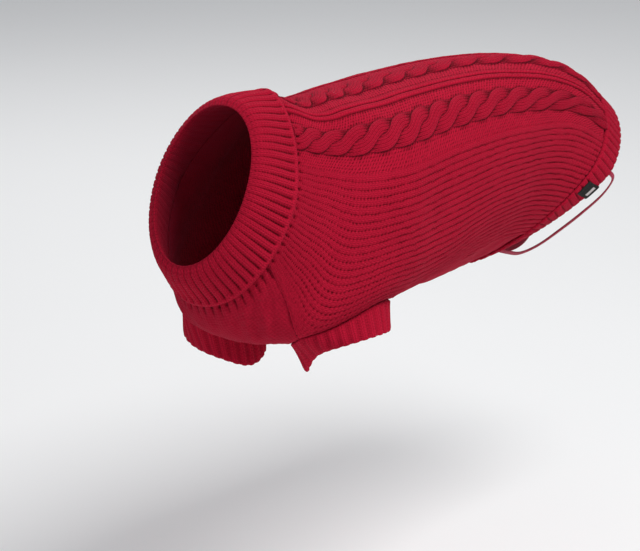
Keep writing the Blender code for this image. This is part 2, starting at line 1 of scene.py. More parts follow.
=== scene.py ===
"""Looks of a cable-knit dog sweater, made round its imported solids, and a plain studio for it.

Frame: the head end points to -X, the tail to +X, the dog's left to -Y and up is +Z.  The shapes are worked
out in millimetres and become metres when a mesh is made.
"""

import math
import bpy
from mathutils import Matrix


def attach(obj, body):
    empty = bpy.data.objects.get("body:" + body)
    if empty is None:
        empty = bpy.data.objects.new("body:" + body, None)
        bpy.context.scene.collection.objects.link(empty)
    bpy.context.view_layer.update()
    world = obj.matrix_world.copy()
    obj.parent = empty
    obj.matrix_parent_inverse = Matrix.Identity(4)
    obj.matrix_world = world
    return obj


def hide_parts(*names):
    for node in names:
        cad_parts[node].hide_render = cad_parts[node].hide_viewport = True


bl_info = {
    "name": "Cable-knit dog sweater",
    "version": (1, 0, 0),
    "blender": (4, 5, 0),
    "location": "3D View > Sidebar > Sweater",
    "description": "Knits the pieces of a dog sweater round its frame and sets up a studio for it",
    "category": "Add Mesh",
}

import bmesh
import bpy
import numpy as np
from mathutils import Matrix, Vector

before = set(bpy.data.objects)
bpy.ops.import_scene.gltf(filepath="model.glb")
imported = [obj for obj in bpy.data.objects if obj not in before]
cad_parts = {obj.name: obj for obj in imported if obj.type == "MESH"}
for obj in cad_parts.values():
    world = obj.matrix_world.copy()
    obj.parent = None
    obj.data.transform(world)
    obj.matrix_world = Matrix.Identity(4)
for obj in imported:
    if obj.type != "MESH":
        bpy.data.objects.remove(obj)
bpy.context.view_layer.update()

MM = 0.001

# ---------------------------------------------------------------------------------------------
# The cut: the same body, seams and bands as the solids
# ---------------------------------------------------------------------------------------------

RIDGE_HALF = 7.2           # the knit pattern, from the middle ridge outward, in millimetres
CABLE_INNER = 21.5
CABLE_OUTER = 51.5
PURL_OUTER = 69.0
FLANK_RIBS = {1: 22, -1: 30}

# The cables: two strands that cross again and again, both cables with the same twist
CABLE_PITCH = 19.2         # from one crossing to the next at the collar
PITCH_DOUBLES = 333.0      # distance along the back in which that pitch doubles
FIRST_CROSSING = 0.82      # in pitches from the collar seam
CROSSING_HALF = 0.60       # half the length of a crossing, in pitches
STRAND_REACH = 1.22        # how far a strand shows to each side of its crossing, in pitches
STRAND_HALF = 7.8
STRAND_SLIM = 0.12         # how much narrower a strand is where it crosses
STRAND_SWING = 7.2         # from the cable's middle to the strand's, along an edge
SCALLOP = 0.22             # how much of that it loses again at its ends
TUCK = 0.62                # how much of its height it loses one pitch from its crossing
STRAND_WALES = 5
POCKET_AT = 1.0            # where a strand goes under the next one, in pitches from its crossing
POCKET_REACH = 0.22
# Painted shade where a strand goes under the next one, darker on the side toward the ridge
POCKET_SHADE = 0.36
POCKET_MEAN = 1.2          # it is darker on the side toward the ridge
POCKET_SIDE = 0.5

SECTION_COLUMNS = ("station", "x_top", "z_top", "x_bottom", "z_bottom", "half_width", "widest_at",
                   "upper_power", "lower_power", "turn", "spread", "seam_left", "seam_right")
SECTIONS = (
    # collar seam
    (0.00, -42, 19, -137, -154, 69, 0.50, 1.5, 2.1, 20.5, 0.92, 0.68, 0.66),
    # front of the shoulder
    (0.12, -8, 2, -124, -182, 77, 0.53, 2.0, 2.2, 28, 0.89, 0.71, 0.70),
    # front of the legs
    (0.30, 28, 0, -76, -200, 97, 0.70, 2.5, 2.6, 34, 1.07, 0.80, 0.77),
    # back of the legs
    (0.42, 66, 1, -13, -193, 105, 0.69, 2.6, 2.5, 37, 1.15, 0.80, 0.76),
    # ribcage
    (0.58, 148, 3, 70, -194, 98, 0.60, 2.6, 2.2, 39.5, 1.05, 0.79, 0.70),
    # waist
    (0.74, 260, -1, 138, -201, 88, 0.51, 2.4, 1.9, 44, 0.93, 0.76, 0.64),
    # rump
    (0.88, 379, -24, 200, -203, 76, 0.44, 2.1, 1.8, 52.5, 0.72, 0.76, 0.65),
    # rear edge
    (1.00, 466, -78, 255, -201, 76, 0.41, 1.6, 1.5, 56, 0.55, 0.77, 0.68),
)
HEM_START = 0.957

HOLE_MIDDLE = 0.390        # the leg holes, in stations along the body
HOLE_HALF_LENGTH = 0.125
HOLE_ABOVE = 33.0          # how far they reach up and down from the side seam, in millimetres
HOLE_BELOW = 30.0
HOLE_POWER = 0.8
HOLE_SHRINK = 0.987        # the cuff's upper edge lies a little inside the hole
RIB_CROWD = 0.25           # how much the ribs crowd toward the side seam at the collar
RIB_CROWD_END = 0.30
RIB_GATHER = 2.2           # the larger, the closer to a leg hole its ribs are bent
RIB_BEND_REACH = 1.6       # how far along the body they are bent, in half lengths of the hole
RIB_BEND_SHARE = 0.9       # share of the hole's height by which they are bent
RIB_BEND_START = 12.0      # the larger, the sooner the hole's own edge stops shaping them
SEAM_GAP = 0.3
SLOPE_STEP = 0.004         # steps along and round the body over which its slopes are taken
AROUND_STEP = 1.5
PLANE_REACH = 0.015        # stations within which the cloth comes to stand in a seam's plane

NECK_RING = {"x_top": -96, "z_top": 15, "x_bottom": -158, "z_bottom": -115, "half_width": 49,
             "widest_at": 0.5, "upper_power": 2.0, "lower_power": 2.0}
COLLAR_RIBS = 62
# The collar from its seam to past the fold: share of the way up, and how far out both faces lie
COLLAR_ROWS = (
    (0.00, 0.4, -2.4),
    (0.03, 3.4, -2.4),
    (0.07, 4.8, -2.4),
    (0.13, 4.6, -2.2),
    (0.45, 7.0, -1.2),
    (0.80, 8.8, 0.2),
    (0.97, 7.4, 1.0),
    (1.04, 4.4, 2.0),
)

# A cuff's lower edge is a tilted ring with a tip that hangs lower: x, y and z of its middle, the rise of its
# outer side for each millimetre across, the tip's place in degrees from the front toward the inner side, its
# reach in degrees and its drop, and how far the rear of the outer side is lifted
CUFF_RIBS = 27
CUFF_RADIUS = 37.0
CUFF_LIFT_AT = -120.0
CUFF_LIFT_REACH = 45.0
CUFF_COLUMNS = ("name", "side", "x", "y", "z", "rise", "tip_at", "tip_reach", "tip_drop", "lift")
CUFFS = (
    ("cuff_left", 1, -23.5, -76, -202.5, 0.42, 49.5, 30, 15, 0),
    ("cuff_right", -1, -23.5, 73, -231, 0.26, 83, 35, 6, 14),
)

HEM_RIB_PITCH = 9.5
HEM_LEAN = 9.5             # how far the rear band's ribs lean down from the seam to the edge
HEM_LEAN_REACH = 40.0      # distance from the band's ends and middles within which they lean less

LABEL_LENGTH = 19.0
LABEL_AT = 0.53            # share of the way down the left side
LABEL_START = 0.967        # stations of its sewn edges, on the band and inside it
LABEL_END = 0.985
LABEL_THICK = 0.9
LABEL_ABOVE = 1.3          # how far its two sides lie beyond a rib's height and beyond the wall
LABEL_BELOW = 0.6
LABEL_PAST_EDGE = 1.9      # how far its fold bulges past the band's edge
LABEL_GAP = 0.2
LABEL_RIM_POWER = 12       # the larger, the sharper its side edges
LABEL_COLUMNS = 39
LABEL_ROWS = (24, 14, 8)   # on the band, round its edge and on the inside

LOOP_WIDTH = 5.0
LOOP_THICKNESS = 1.4
LOOP_ROUTE = ((299, 13, -203), (327, 9, -211), (356, 10, -209), (382, 17, -198), (401, 31, -181),
              (409, 50, -160), (402, 67, -139))
LOOP_ON_BELLY = 0.92       # shares of the way down where its ends are sewn on
LOOP_ON_REAR = 0.42
LOOP_CLEARANCE = 0.8
LOOP_SEWN = ((0.975, 0.0), (1.0, 1.0))  # its sewn end: station and how far past that plane
LOOP_STEPS = 14            # from each point of the route to the next
LOOP_CORNERS = 28
LOOP_POWERS = (0.45, 0.6)  # how square its section is across and through
LOOP_STRANDS = 4.5
STRAND_RELIEF = 0.10

# ---------------------------------------------------------------------------------------------
# The knit
# ---------------------------------------------------------------------------------------------

WALE = 3.2                 # width of one column of stitches, in millimetres
COURSE = 3.0               # length of one row of stitches on the bands and the belly
COURSES_PER_CROSSING = 8
TICK_SLANT = 0.62          # rows of stitches by which the purl ground's ticks climb in one column
TICK_DEPTH = 0.55
TICK_BASE = 0.55           # share of that depth all across a column
TICK_WAVE = 0.45           # share that swells and sinks with each column
TWIN_POWER = 0.7           # the smaller, the fuller the twin ribs
STRAND_POWER = 2.4         # the larger, the flatter a strand's top
CHAIN_DEPTH = 0.60         # grooves between a strand's columns of stitches
CHAIN_GROOVE = 0.17        # half their width, in columns
CHAIN_END = 0.9            # share of the strand's half width in which they lie

# The flank ribs: half widths are shares of a rib, reaches are in millimetres
RIB_GROOVE = 0.16
RIB_MIDDLE = (0.10, 0.18)  # half width and depth of the line along a rib's middle
PITTED = 0.40              # how far the grooves break up into pits away from the collar and the legs
PITTED_BY_COLLAR = 90.0
PITTED_BY_LEG = (0.28, 0.20, 55.0)  # station, reach along in stations and reach up from the side seam
PIT_BRIDGE = 0.95          # how nearly the threads between two pits reach the rib's height
RIBS_FADE = 16.0           # over how far the ribs fade toward the side seam ahead of the leg holes
RIBS_FADE_TO = 0.6         # share of their height that the plain knit there keeps

# Lines that distances along the body are measured on, as shares of the way round from the top
FLANK_LINE = 0.3
BELLY_LINE = 0.95

# Soft random fields: seed, reach in mesh points, and depth in millimetres, shares or rows of stitches
RIB_WANDER = (31, 4, 0.035)
RIB_VARIES = (41, 5, 0.16)
RIB_LEAST = 0.4            # limits to how much a groove's depth varies
RIB_MOST = 1.2
FLANK_UNEVEN = (11, 3, 0.09)
BACK_UNEVEN = (5, 3, 0.08)
TICKS_UNEVEN = (7, 4, 0.10)
FRONT_UNEVEN = (23, 4, 0.16)
FRONT_WAVY = (29, 12, 0.35)

# Shade of what lies low: mesh points along and across over which the height is smoothed, and how far below
# that it is darkest
FLANK_SHADE = (4, 5, 0.95)
BACK_SHADE = (5, 7, 0.9)
FRONT_SHADE = (3, 3, 0.9)
COLLAR_SHADE = (3, 5, 1.1)
CUFF_SHADE = (3, 5, 0.9)
HEM_SHADE = (3, 4, 0.9)
PANEL_INSIDE = 0.25        # the even shade of the insides
COLLAR_INSIDE = 0.3
BAND_INSIDE = 0.35

# Seams: depth and reach of the dip beside them, and of their shade
SIDE_DIP = (0.8, 2.2)
COLLAR_DIP = (0.5, 3.0)
REAR_DIP = (2.0, 2.0)
BELLY_REAR_DIP = (1.5, 2.0)
RIDGE_DIP = (0.45, 1.0)
SEAM_SHADE = (0.9, 1.3)
SEAM_SHOWS = 0.05          # how much of a side seam's dip and shade is left away from the leg holes

# Pits where the knit is gathered into the collar: depth, half width, distance from the seam, reach
PUCKERS = (1.9, 1.7, 4.2, 2.3)
LONG_PUCKERS = (1.2, 1.3, 9.0, 4.5)

# Ribs of the bands: half width of a groove and of the line along a rib's middle, in ribs, and its depth
COLLAR_GROOVES = (0.21, 0.12)  # at the seam and at the fold
COLLAR_MIDDLE = (0.10, 0.25)
COLLAR_TAPER = 0.62        # share of their depth that the collar's grooves lose toward the fold
COLLAR_RISE = (0.075, 0.05)  # where up the collar its grooves begin, and over how far they deepen
COLLAR_TAPER_AT = (0.2, 0.75)  # where they begin to flatten, and over how far
COLLAR_FLAT = 0.12         # how far up the collar it is turned into the seam's plane
COLLAR_INNER = 0.5         # height of its ribs on the inside
COLLAR_ON_FOLD = 0.3       # depth of its grooves on the fold
CUFF_GROOVE = 0.21
CUFF_MIDDLE = (0.10, 0.22)
CUFF_FADE = 0.45           # share of their depth that the cuffs' grooves lose at the edge
CUFF_FADE_FROM = 0.9
SCALLOP_FROM = 0.8         # share of the way down from which a cuff's edge is drawn in at each groove
CUFF_LEAN = {1: 0.045, -1: 0.0}  # share of the way round by which a cuff's ribs lean, seam to edge
HEM_GROOVE = 0.15
HEM_MIDDLE = (0.08, 0.20)
HEM_START_REACH = 0.12     # share of the way down over which the rear band's grooves deepen
HEM_FADE = 0.3             # share of their depth that they lose at the edge
RIB_START = 0.1            # the same as HEM_START_REACH for the cuffs and for the lines along the ribs
PAIR_THREAD = (0.35, 0.5)  # a thread that stands in a cuff's groove: share of its width and its depth
GROOVE_PURL = 0.6          # how far the knit in a groove shows its purl side
INNER_RELIEF = 0.4         # height of the ribs on the inside

# How a band swells out of its seam: least, bulge, speed of the bulge, and depth and reach of the seam
CUFF_SWELL = (0.7, 0.6, 1.1, 1.3, 0.05)
HEM_SWELL = (0.7, 0.7, 1.0, 1.2, 0.07)
COLLAR_ROLL = 1.8          # how far the rounded edge bulges past each band's end
CUFF_ROLL = 1.2
HEM_ROLL = 1.6
HEM_REACH = 20.0           # width of the rear band

# The mesh: rows for each row of stitches, columns for each rib or in millimetres
CABLE_ROWS_PER_COURSE = 4
FLANK_ROWS_PER_COURSE = 3
FRONT_ROWS_PER_COURSE = 2
RIB_COLUMNS = 7
COLLAR_RIB_COLUMNS = 12
CUFF_RIB_COLUMNS = 16
HEM_RIB_COLUMNS = 10
BACK_MARKS = (PURL_OUTER, CABLE_OUTER, CABLE_INNER, RIDGE_HALF)
BACK_STEPS = (1.1, 0.6, 1.1)  # columns from each of these marks to the next
RIDGE_STEP = 0.9
PLAIN_STEP = 1.6
INNER_EVERY = (8, 12)      # the plain inside keeps every so many rows and columns
COLLAR_MESH = (78, (0.15, 0.32, 0.5, 0.68, 0.85), 18)  # rows outside, round the edge and inside
CUFF_MESH = (44, (0.2, 0.4, 0.6, 0.8), 14)
HEM_MESH = (26, (0.15, 0.32, 0.5, 0.68, 0.85), 9)
HOLE_STEPS = 40            # points along one half of a leg hole's edge
BLUR_WIDTH = 0.6           # how broad the weights of a blur are within its reach
SHARP_FROM = math.radians(75.0)  # edges of the mesh that turn by more than this are sharp

# Creases: station and share of the way round of the middle (minus is on the right), reach along and across
# in the same terms, slant, and depth in millimetres (a minus sign makes a ridge)
CREASES = (
    # the plainest ones, on the chest and behind the legs
    (0.14, 0.835, 0.085, 0.014, 0.40, 2.4),
    (0.12, 0.890, 0.075, 0.015, 0.30, 2.2),
    (0.15, -0.840, 0.085, 0.015, -0.42, 2.2),
    (0.12, -0.895, 0.075, 0.014, -0.28, 2.0),
    (0.52, 0.93, 0.080, 0.035, 0.30, 1.6),
    (0.56, -0.90, 0.090, 0.034, -0.28, 1.5),
    # chest, from the collar toward the left leg
    (0.15, 0.780, 0.070, 0.012, 0.60, 1.3),
    (0.13, 0.862, 0.080, 0.010, 0.36, -1.4),
    (0.15, 0.808, 0.070, 0.010, 0.46, -1.1),
    (0.09, 0.960, 0.070, 0.016, 0.14, 1.2),
    # and toward the right leg
    (0.15, -0.785, 0.070, 0.013, -0.58, 1.2),
    (0.13, -0.868, 0.080, 0.010, -0.36, -1.3),
    (0.15, -0.812, 0.070, 0.011, -0.44, -1.0),
    # between the legs and along the belly
    (0.33, 0.960, 0.060, 0.020, 0.10, 0.9),
    (0.44, -0.950, 0.070, 0.022, -0.15, 1.0),
    (0.63, 0.860, 0.090, 0.020, 0.22, -0.8),
    (0.70, -0.840, 0.100, 0.022, -0.20, 0.9),
    (0.82, 0.910, 0.070, 0.024, 0.35, 0.7),
    # flanks, where the knit is drawn in behind the legs and over the rump
    (0.47, 0.640, 0.050, 0.030, 0.55, 0.9),
    (0.50, -0.620, 0.055, 0.032, -0.50, 0.9),
    (0.90, 0.480, 0.035, 0.060, -0.40, 0.8),
    (0.90, -0.500, 0.035, 0.060, 0.40, 0.8),
)

# Waves of the cloth: how many run along the body and round it, phase, and depth in millimetres
WAVE_BEND = 1.3            # how far those round the body bend those along it
SOFT_WAVES = (
    (2.3, 1.0, 0.4, 0.45),
    (4.1, 2.0, 1.9, 0.32),
    (6.7, 3.0, 4.2, 0.24),
    (9.3, 4.0, 2.7, 0.16),
)

# ---------------------------------------------------------------------------------------------
# Sizes, colours and studio that a user may change
# ---------------------------------------------------------------------------------------------

def length(name, description, default):
    """A length that the user may change."""
    return bpy.props.FloatProperty(name=name, description=description, default=default, min=0.0,
                                   precision=5, unit="LENGTH", subtype="DISTANCE")


def share(name, description, default, highest=1.0):
    """A share or strength that the user may change."""
    return bpy.props.FloatProperty(name=name, description=description, default=default, min=0.0,
                                   max=highest, subtype="FACTOR")


def colour(name, description, default):
    """A colour that the user may change."""
    return bpy.props.FloatVectorProperty(name=name, description=description, default=default, size=3,
                                         min=0.0, max=1.0, subtype="COLOR")


class SweaterSizes(bpy.types.PropertyGroup):
    """Heights and depths of the knit's relief."""

    wall: length("Wall", "Thickness of plain knit, from the inside to the grooves", 0.0024)
    rib_height: length("Flank rib", "Height of the flank ribs above their grooves", 0.0014)
    ridge_height: length("Ridge", "Height of the twin ribs along the back", 0.0016)
    cable_height: length("Cable", "Height of a cable strand above the purl ground", 0.0042)
    collar_rib: length("Collar rib", "Depth of the collar's grooves at their widest", 0.0024)
    cuff_rib: length("Cuff rib", "Depth of the cuffs' grooves", 0.0020)
    hem_rib: length("Hem rib", "Depth of the rear band's grooves", 0.0017)
    stitch: length("Stitch", "Depth between neighbouring stitches in the finish", 0.0007)


class SweaterColours(bpy.types.PropertyGroup):
    """Colours of the yarn and its painted shade, the label and the elastic."""

    yarn: colour("Yarn", "Crimson of the yarn where light reaches it", (0.45, 0.0045, 0.028))
    # painted shade: the deep red the yarn is mixed toward between stitches, in hollows, by seams and on the
    # insides
    groove: colour("Groove", "Deep red between stitches and ribs", (0.085, 0.0010, 0.0045))
    sheen: colour("Sheen", "Pinkish sheen of the yarn's loose fibres", (1.0, 0.22, 0.42))
    label: colour("Label", "Black of the woven label", (0.008, 0.007, 0.006))
    label_bar: colour("Label bar", "Pale bar woven into the label", (0.62, 0.56, 0.55))
    elastic: colour("Elastic", "Red of the leg loops", (0.36, 0.008, 0.030))


class SweaterStudio(bpy.types.PropertyGroup):
    """Floor, lights and camera."""

    floor_level: bpy.props.FloatProperty(
        name="Floor level", description="Height of the floor under the wearer's feet", default=-0.50,
        unit="LENGTH", subtype="DISTANCE")
    floor_colour: colour("Floor", "Pale floor", (0.90, 0.90, 0.89))
    key_power: bpy.props.FloatProperty(
        name="Key light", description="Power of the large light above the left side", default=40.0,
        unit="POWER")
    fill_power: bpy.props.FloatProperty(
        name="Fill light", description="Power of the light on the left", default=2.5, unit="POWER")
    back_power: bpy.props.FloatProperty(
        name="Back light", description="Power of the light behind the right side", default=14.0,
        unit="POWER")
    sky: share("Sky", "Strength of the even light from all round", 0.46, 5.0)
    lens: bpy.props.FloatProperty(
        name="Lens", description="Focal length of the camera on a 36 mm frame", default=157.5)
    azimuth: bpy.props.FloatProperty(
        name="Azimuth", description="Direction to the camera from the sweater, from +X",
        default=math.radians(220.5), unit="ROTATION", subtype="ANGLE")
    elevation: bpy.props.FloatProperty(
        name="Elevation", description="Height of the camera as an angle", default=math.radians(17.0),
        unit="ROTATION", subtype="ANGLE")
    distance: length("Distance", "From the camera to the origin, along its view", 2.52)


class Millimetres:
    """The scene's sizes in millimetres."""

    def __init__(self, context):
        group = context.scene.sweater_sizes
        for name in SweaterSizes.__annotations__:
            setattr(self, name, getattr(group, name) / MM)


# ---------------------------------------------------------------------------------------------
# The body's surface
# ---------------------------------------------------------------------------------------------

ROWS = np.array(SECTIONS, float)
SLOPES = np.gradient(ROWS, ROWS[:, 0], axis=0)


def hermite(at, table, slopes):
    """Every column of a table at one value of its first column, on smooth curves through the rows."""
    row = min(max(int(np.searchsorted(table[:, 0], at, side="right")) - 1, 0), len(table) - 2)
    step = table[row + 1, 0] - table[row, 0]
    t = (at - table[row, 0]) / step
    return ((2 * t**3 - 3 * t**2 + 1) * table[row] + (t**3 - 2 * t**2 + t) * step * slopes[row]
            + (-2 * t**3 + 3 * t**2) * table[row + 1] + (t**3 - t**2) * step * slopes[row + 1])


def section(station):
    """The named measures of the body's section at a station."""
    return dict(zip(SECTION_COLUMNS, hermite(station, ROWS, SLOPES)))


def half_ring(values, samples=1441):
    """Half a section, from its top down the left side, and the distance along it at each point."""
    angle = np.linspace(0.0, math.pi, samples)
    upper = angle <= math.pi / 2
    power = 2.0 / np.where(upper, values["upper_power"], values["lower_power"])
    across = values["half_width"] * np.abs(np.sin(angle)) ** power
    reach = np.abs(np.cos(angle)) ** power
    wide = 1.0 - values["widest_at"]
    height = np.where(upper, wide + (1.0 - wide) * reach, wide * (1.0 - reach))
    x = values["x_bottom"] + (values["x_top"] - values["x_bottom"]) * height
    z = values["z_bottom"] + (values["z_top"] - values["z_bottom"]) * height
    points = np.stack([x, -across, z], axis=1)
    steps = np.linalg.norm(np.diff(points, axis=0), axis=1)
    return points, np.concatenate([[0.0], np.cumsum(steps)])


def on_ring(ring, arcs):
    """Points of a ring at distances from its top: plus is down the left, and past the bottom goes on."""
    points, lengths = ring
    whole = 2.0 * lengths[-1]
    arcs = (np.asarray(arcs, float) + whole / 2) % whole - whole / 2
    found = np.stack([np.interp(np.abs(arcs), lengths, points[:, k]) for k in range(3)], axis=-1)
    found[..., 1] *= np.where(arcs < 0, -1.0, 1.0)
    return found


def half_length(station):
    """Distance from the top of a section to its bottom, down one side."""
    return half_ring(section(station))[1][-1]


def plane_normal(station):
    """The direction across a section's plane, toward the tail."""
    values = section(station)
    down = np.array([values["x_bottom"] - values["x_top"], 0.0, values["z_bottom"] - values["z_top"]])
    across = np.cross(down, (0.0, 1.0, 0.0))
    across /= np.linalg.norm(across)
    return across if across[0] > 0 else -across


def softness(station, arcs, half):
    """How far creases and the cloth's unevenness push it in at these places."""
    round_share = ((np.asarray(arcs) / half + 1.0) % 2.0) - 1.0
    depth = np.zeros_like(round_share)
    for middle, round_at, reach_along, reach_round, slant, deep in CREASES:
        along = (station - middle) / reach_along
        across = (round_share - round_at - slant * (station - middle)) / reach_round
        depth += deep * np.exp(-along**2 - across**2)
    for along, around, phase, deep in SOFT_WAVES:
        depth += deep * np.sin(2 * math.pi * along * station + phase
                               + WAVE_BEND * np.sin(math.pi * around * round_share + phase))
    return depth


def skin(station, arcs, height, shift=0.0):
    """Points this far out from the body's ground surface; on the planes of the three seams that run round
    the body they stay in the plane, and shift moves them across it."""
    arcs = np.asarray(arcs, float)
    ring = half_ring(section(station))
    before = half_ring(section(max(station - SLOPE_STEP, 0.0)))
    after = half_ring(section(min(station + SLOPE_STEP, 1.0)))
    base = on_ring(ring, arcs)
    along = on_ring(after, arcs) - on_ring(before, arcs)
    around = on_ring(ring, arcs + AROUND_STEP) - on_ring(ring, arcs - AROUND_STEP)
    out = np.cross(around, along)
    across = plane_normal(station)
    flat = max(max(0.0, 1.0 - abs(station - seam) / PLANE_REACH) for seam in (0.0, HEM_START, 1.0))
    out /= np.linalg.norm(out, axis=-1, keepdims=True)
    lean = (out @ across)[..., None]
    out = (out - flat * lean * across) / (1.0 - flat * lean**2)
    sunk = softness(station, arcs, ring[1][-1]) * (1.0 - flat)
    return base + out * (np.asarray(height) - sunk)[..., None] + across * shift


def hole_depth(station, depth):
    """How far a leg hole's edge lies from the side seam's line."""
    along = abs(station - HOLE_MIDDLE) / HOLE_HALF_LENGTH
    return depth * max(0.0, 1.0 - along**2) ** HOLE_POWER


def seam_arc(station, side):
    """Distance from the top to the side seam, on the left (side 1) or the right (side -1)."""
    return half_length(station) * section(station)["seam_left" if side > 0 else "seam_right"]


def rib_bend(station, cut, up):
    """How far the flank's ribs are bent up over a leg hole, at shares of the way up from its edge."""
    along = min(1.0, abs(station - HOLE_MIDDLE) / (RIB_BEND_REACH * HOLE_HALF_LENGTH))
    bend = RIB_BEND_SHARE * HOLE_ABOVE * math.cos(along * math.pi / 2) ** 2
    at_edge = (1.0 - up) ** RIB_BEND_START
    return (at_edge * cut + (1.0 - at_edge) * bend) * (1.0 - up) ** RIB_GATHER


def rib_places(station, up):
    """Where the ribs lie on the way up from the side seam, at these shares of their number."""
    return up ** (1.0 + RIB_CROWD * max(0.0, 1.0 - station / RIB_CROWD_END))


def back_edges(station):
    """Arcs of the back panel's left and right edges."""
    cut = hole_depth(station, HOLE_ABOVE) + SEAM_GAP / 2
    return seam_arc(station, 1) - cut, -(seam_arc(station, -1) - cut)


def front_edges(station):
    """Arcs of the front panel's left and right edges, measured on round the bottom."""
    cut = hole_depth(station, HOLE_BELOW) + SEAM_GAP / 2
    return seam_arc(station, 1) + cut, 2 * half_length(station) - seam_arc(station, -1) - cut


def along_line(stations, round_share=None):
    """Distance along the body at each station: on the ridge, or this share of the way round from the top."""
    points = []
    for station in stations:
        ring = half_ring(section(station), 361)
        arc = section(station)["turn"] if round_share is None else round_share * ring[1][-1]
        points.append(on_ring(ring, arc))
    steps = np.linalg.norm(np.diff(np.array(points), axis=0), axis=1)
    return np.concatenate([[0.0], np.cumsum(steps)])


def crossings(along):
    """How many pitches of the cables lie between the collar seam and places this far along the back."""
    return PITCH_DOUBLES / CABLE_PITCH * np.log(1.0 + along / PITCH_DOUBLES)


def knit_rows(rows_per_course):
    """Stations of the mesh's rows from the collar seam to the rear band, and their rows of stitches."""
    dense = np.linspace(0.0, HEM_START, 241)
    index = crossings(along_line(dense)) * COURSES_PER_CROSSING
    courses = np.linspace(0.0, index[-1], round(index[-1]) * rows_per_course + 1)
    return np.interp(courses, index, dense), courses


# ---------------------------------------------------------------------------------------------
# Mesh building
# ---------------------------------------------------------------------------------------------

class Cloth:
    """Collects the vertices and faces of one wall, with its stitch coordinates.

    knit holds columns of stitches, rows of stitches and 1 where the purl side shows.  The last field is
    painted shade, from 0 to 1: mostly how deep between its neighbours a point lies, and more by seams, where
    cable strands go under and on the insides.
    """

    def __init__(self):
        self.points = []
        self.knit = []
        self.hollow = []
        self.faces = []
        self.count = 0

    def add(self, points, knit, hollow):
        """Add a grid of points, and return their indices in the same layout."""
        points = np.asarray(points, float)
        shape = points.shape[:-1]
        size = int(np.prod(shape))
        self.points.append(points.reshape(-1, 3))
        self.knit.append(np.broadcast_to(knit, (*shape, 3)).reshape(-1, 3))
        self.hollow.append(np.broadcast_to(hollow, shape).reshape(-1))
        self.count += size
        return np.arange(self.count - size, self.count).reshape(shape)

    def grid(self, index, flip=False):
        """Quads over a grid of indices."""
        corners = [index[:-1, :-1], index[:-1, 1:], index[1:, 1:], index[1:, :-1]]
        quads = np.stack([c.reshape(-1) for c in (corners[::-1] if flip else corners)], axis=1)
        self.faces += quads.tolist()

    def zip(self, first, second):
        """Triangles between two lines of indices whose lengths differ."""
        points = np.concatenate(self.points)
        at_first = line_shares(points[first])
        at_second = line_shares(points[second])
        a, b = 0, 0
        while a < len(first) - 1 or b < len(second) - 1:
            step_first = at_first[a + 1] if a < len(first) - 1 else math.inf
            step_second = at_second[b + 1] if b < len(second) - 1 else math.inf
            if step_first <= step_second:
                self.faces.append([int(first[a]), int(first[a + 1]), int(second[b])])
                a += 1
            else:
                self.faces.append([int(first[a]), int(second[b + 1]), int(second[b])])
                b += 1

    def build(self, name, material):
        """Make the object, smooth and with its faces turned out."""
        mesh = bpy.data.meshes.new(name)
        points = np.concatenate(self.points) * MM
        mesh.from_pydata(points.tolist(), [], self.faces)
        knit = mesh.attributes.new("knit", "FLOAT_VECTOR", "POINT")
        knit.data.foreach_set("vector", np.concatenate(self.knit).astype(np.float32).reshape(-1))
        # painted shade, which the yarn's finish mixes into its colour
        hollow = mesh.attributes.new("hollow", "FLOAT", "POINT")
        hollow.data.foreach_set("value", np.concatenate(self.hollow).astype(np.float32))
        turn_out(mesh)
        mesh.shade_smooth()
        mesh.set_sharp_from_angle(angle=SHARP_FROM)
        mesh.materials.append(material)
        piece = bpy.data.objects.new(name, mesh)
        bpy.context.scene.collection.objects.link(piece)
        return piece


def turn_out(mesh):
    """Make the winding of a closed mesh alike all over, with its faces out."""
    body = bmesh.new()
    body.from_mesh(mesh)
    bmesh.ops.recalc_face_normals(body, faces=body.faces)
    if body.calc_volume(signed=True) < 0:
        bmesh.ops.reverse_faces(body, faces=body.faces)
    body.to_mesh(mesh)
    body.free()


def line_shares(points):
    """How far along a line each of its points lies, from 0 to 1."""
    lengths = np.concatenate([[0.0], np.cumsum(np.linalg.norm(np.diff(points, axis=0), axis=1))])
    return lengths / lengths[-1]


def closed(rows):
    """Rows that go all the way round and end where they began."""
    return np.concatenate([rows, rows[:, :1]], axis=1)


def blur(field, reach, axis, around=False):
    """A field smoothed along one axis, over this many samples each way."""
    weights = np.exp(-(np.arange(-reach, reach + 1) / (BLUR_WIDTH * reach)) ** 2)
    weights /= weights.sum()
    pad = [(0, 0)] * field.ndim
    pad[axis] = (reach, reach)
    padded = np.pad(field, pad, mode="wrap" if around else "edge")
    out = np.zeros_like(field)
    for k, weight in enumerate(weights):
        out += weight * np.take(padded, range(k, k + field.shape[axis]), axis=axis)
    return out


def hollows(height, shade, around=False):
    """How deep each point lies below the smoothed height about it, from 0 to 1: the painted shade of the
    knit's hollows.
    """
    rows, columns, darkest = shade
    smooth = blur(blur(height, rows, 0), columns, 1, around)
    return np.clip((smooth - height) / darkest, 0.0, 1.0)


def groove(place, width):
    """1 at whole numbers, falling off over this share of the way to the next."""
    off = np.abs(place - np.round(place))
    return np.exp(-(off / width) ** 2)


def paired(place, width):
    """Grooves with a thin thread standing in each."""
    narrower, depth = PAIR_THREAD
    return groove(place, width) * (1.0 - depth * groove(place, narrower * width))


def knit_of(shape, wale, course, purl):
    """Stitch coordinates for a grid."""
    return np.stack([np.broadcast_to(field, shape) for field in (wale, course, purl)], axis=-1)


def back_columns():
    """Offsets of the mesh's columns from the back's middle, from left to right."""
    left = [np.linspace(a, b, math.ceil((a - b) / step), endpoint=False)
            for a, b, step in zip(BACK_MARKS, BACK_MARKS[1:], BACK_STEPS)]
    ridge = np.linspace(RIDGE_HALF, -RIDGE_HALF, math.ceil(2 * RIDGE_HALF / RIDGE_STEP) + 1)
    left = np.concatenate(left)
    return np.concatenate([left, ridge, -left[::-1]])


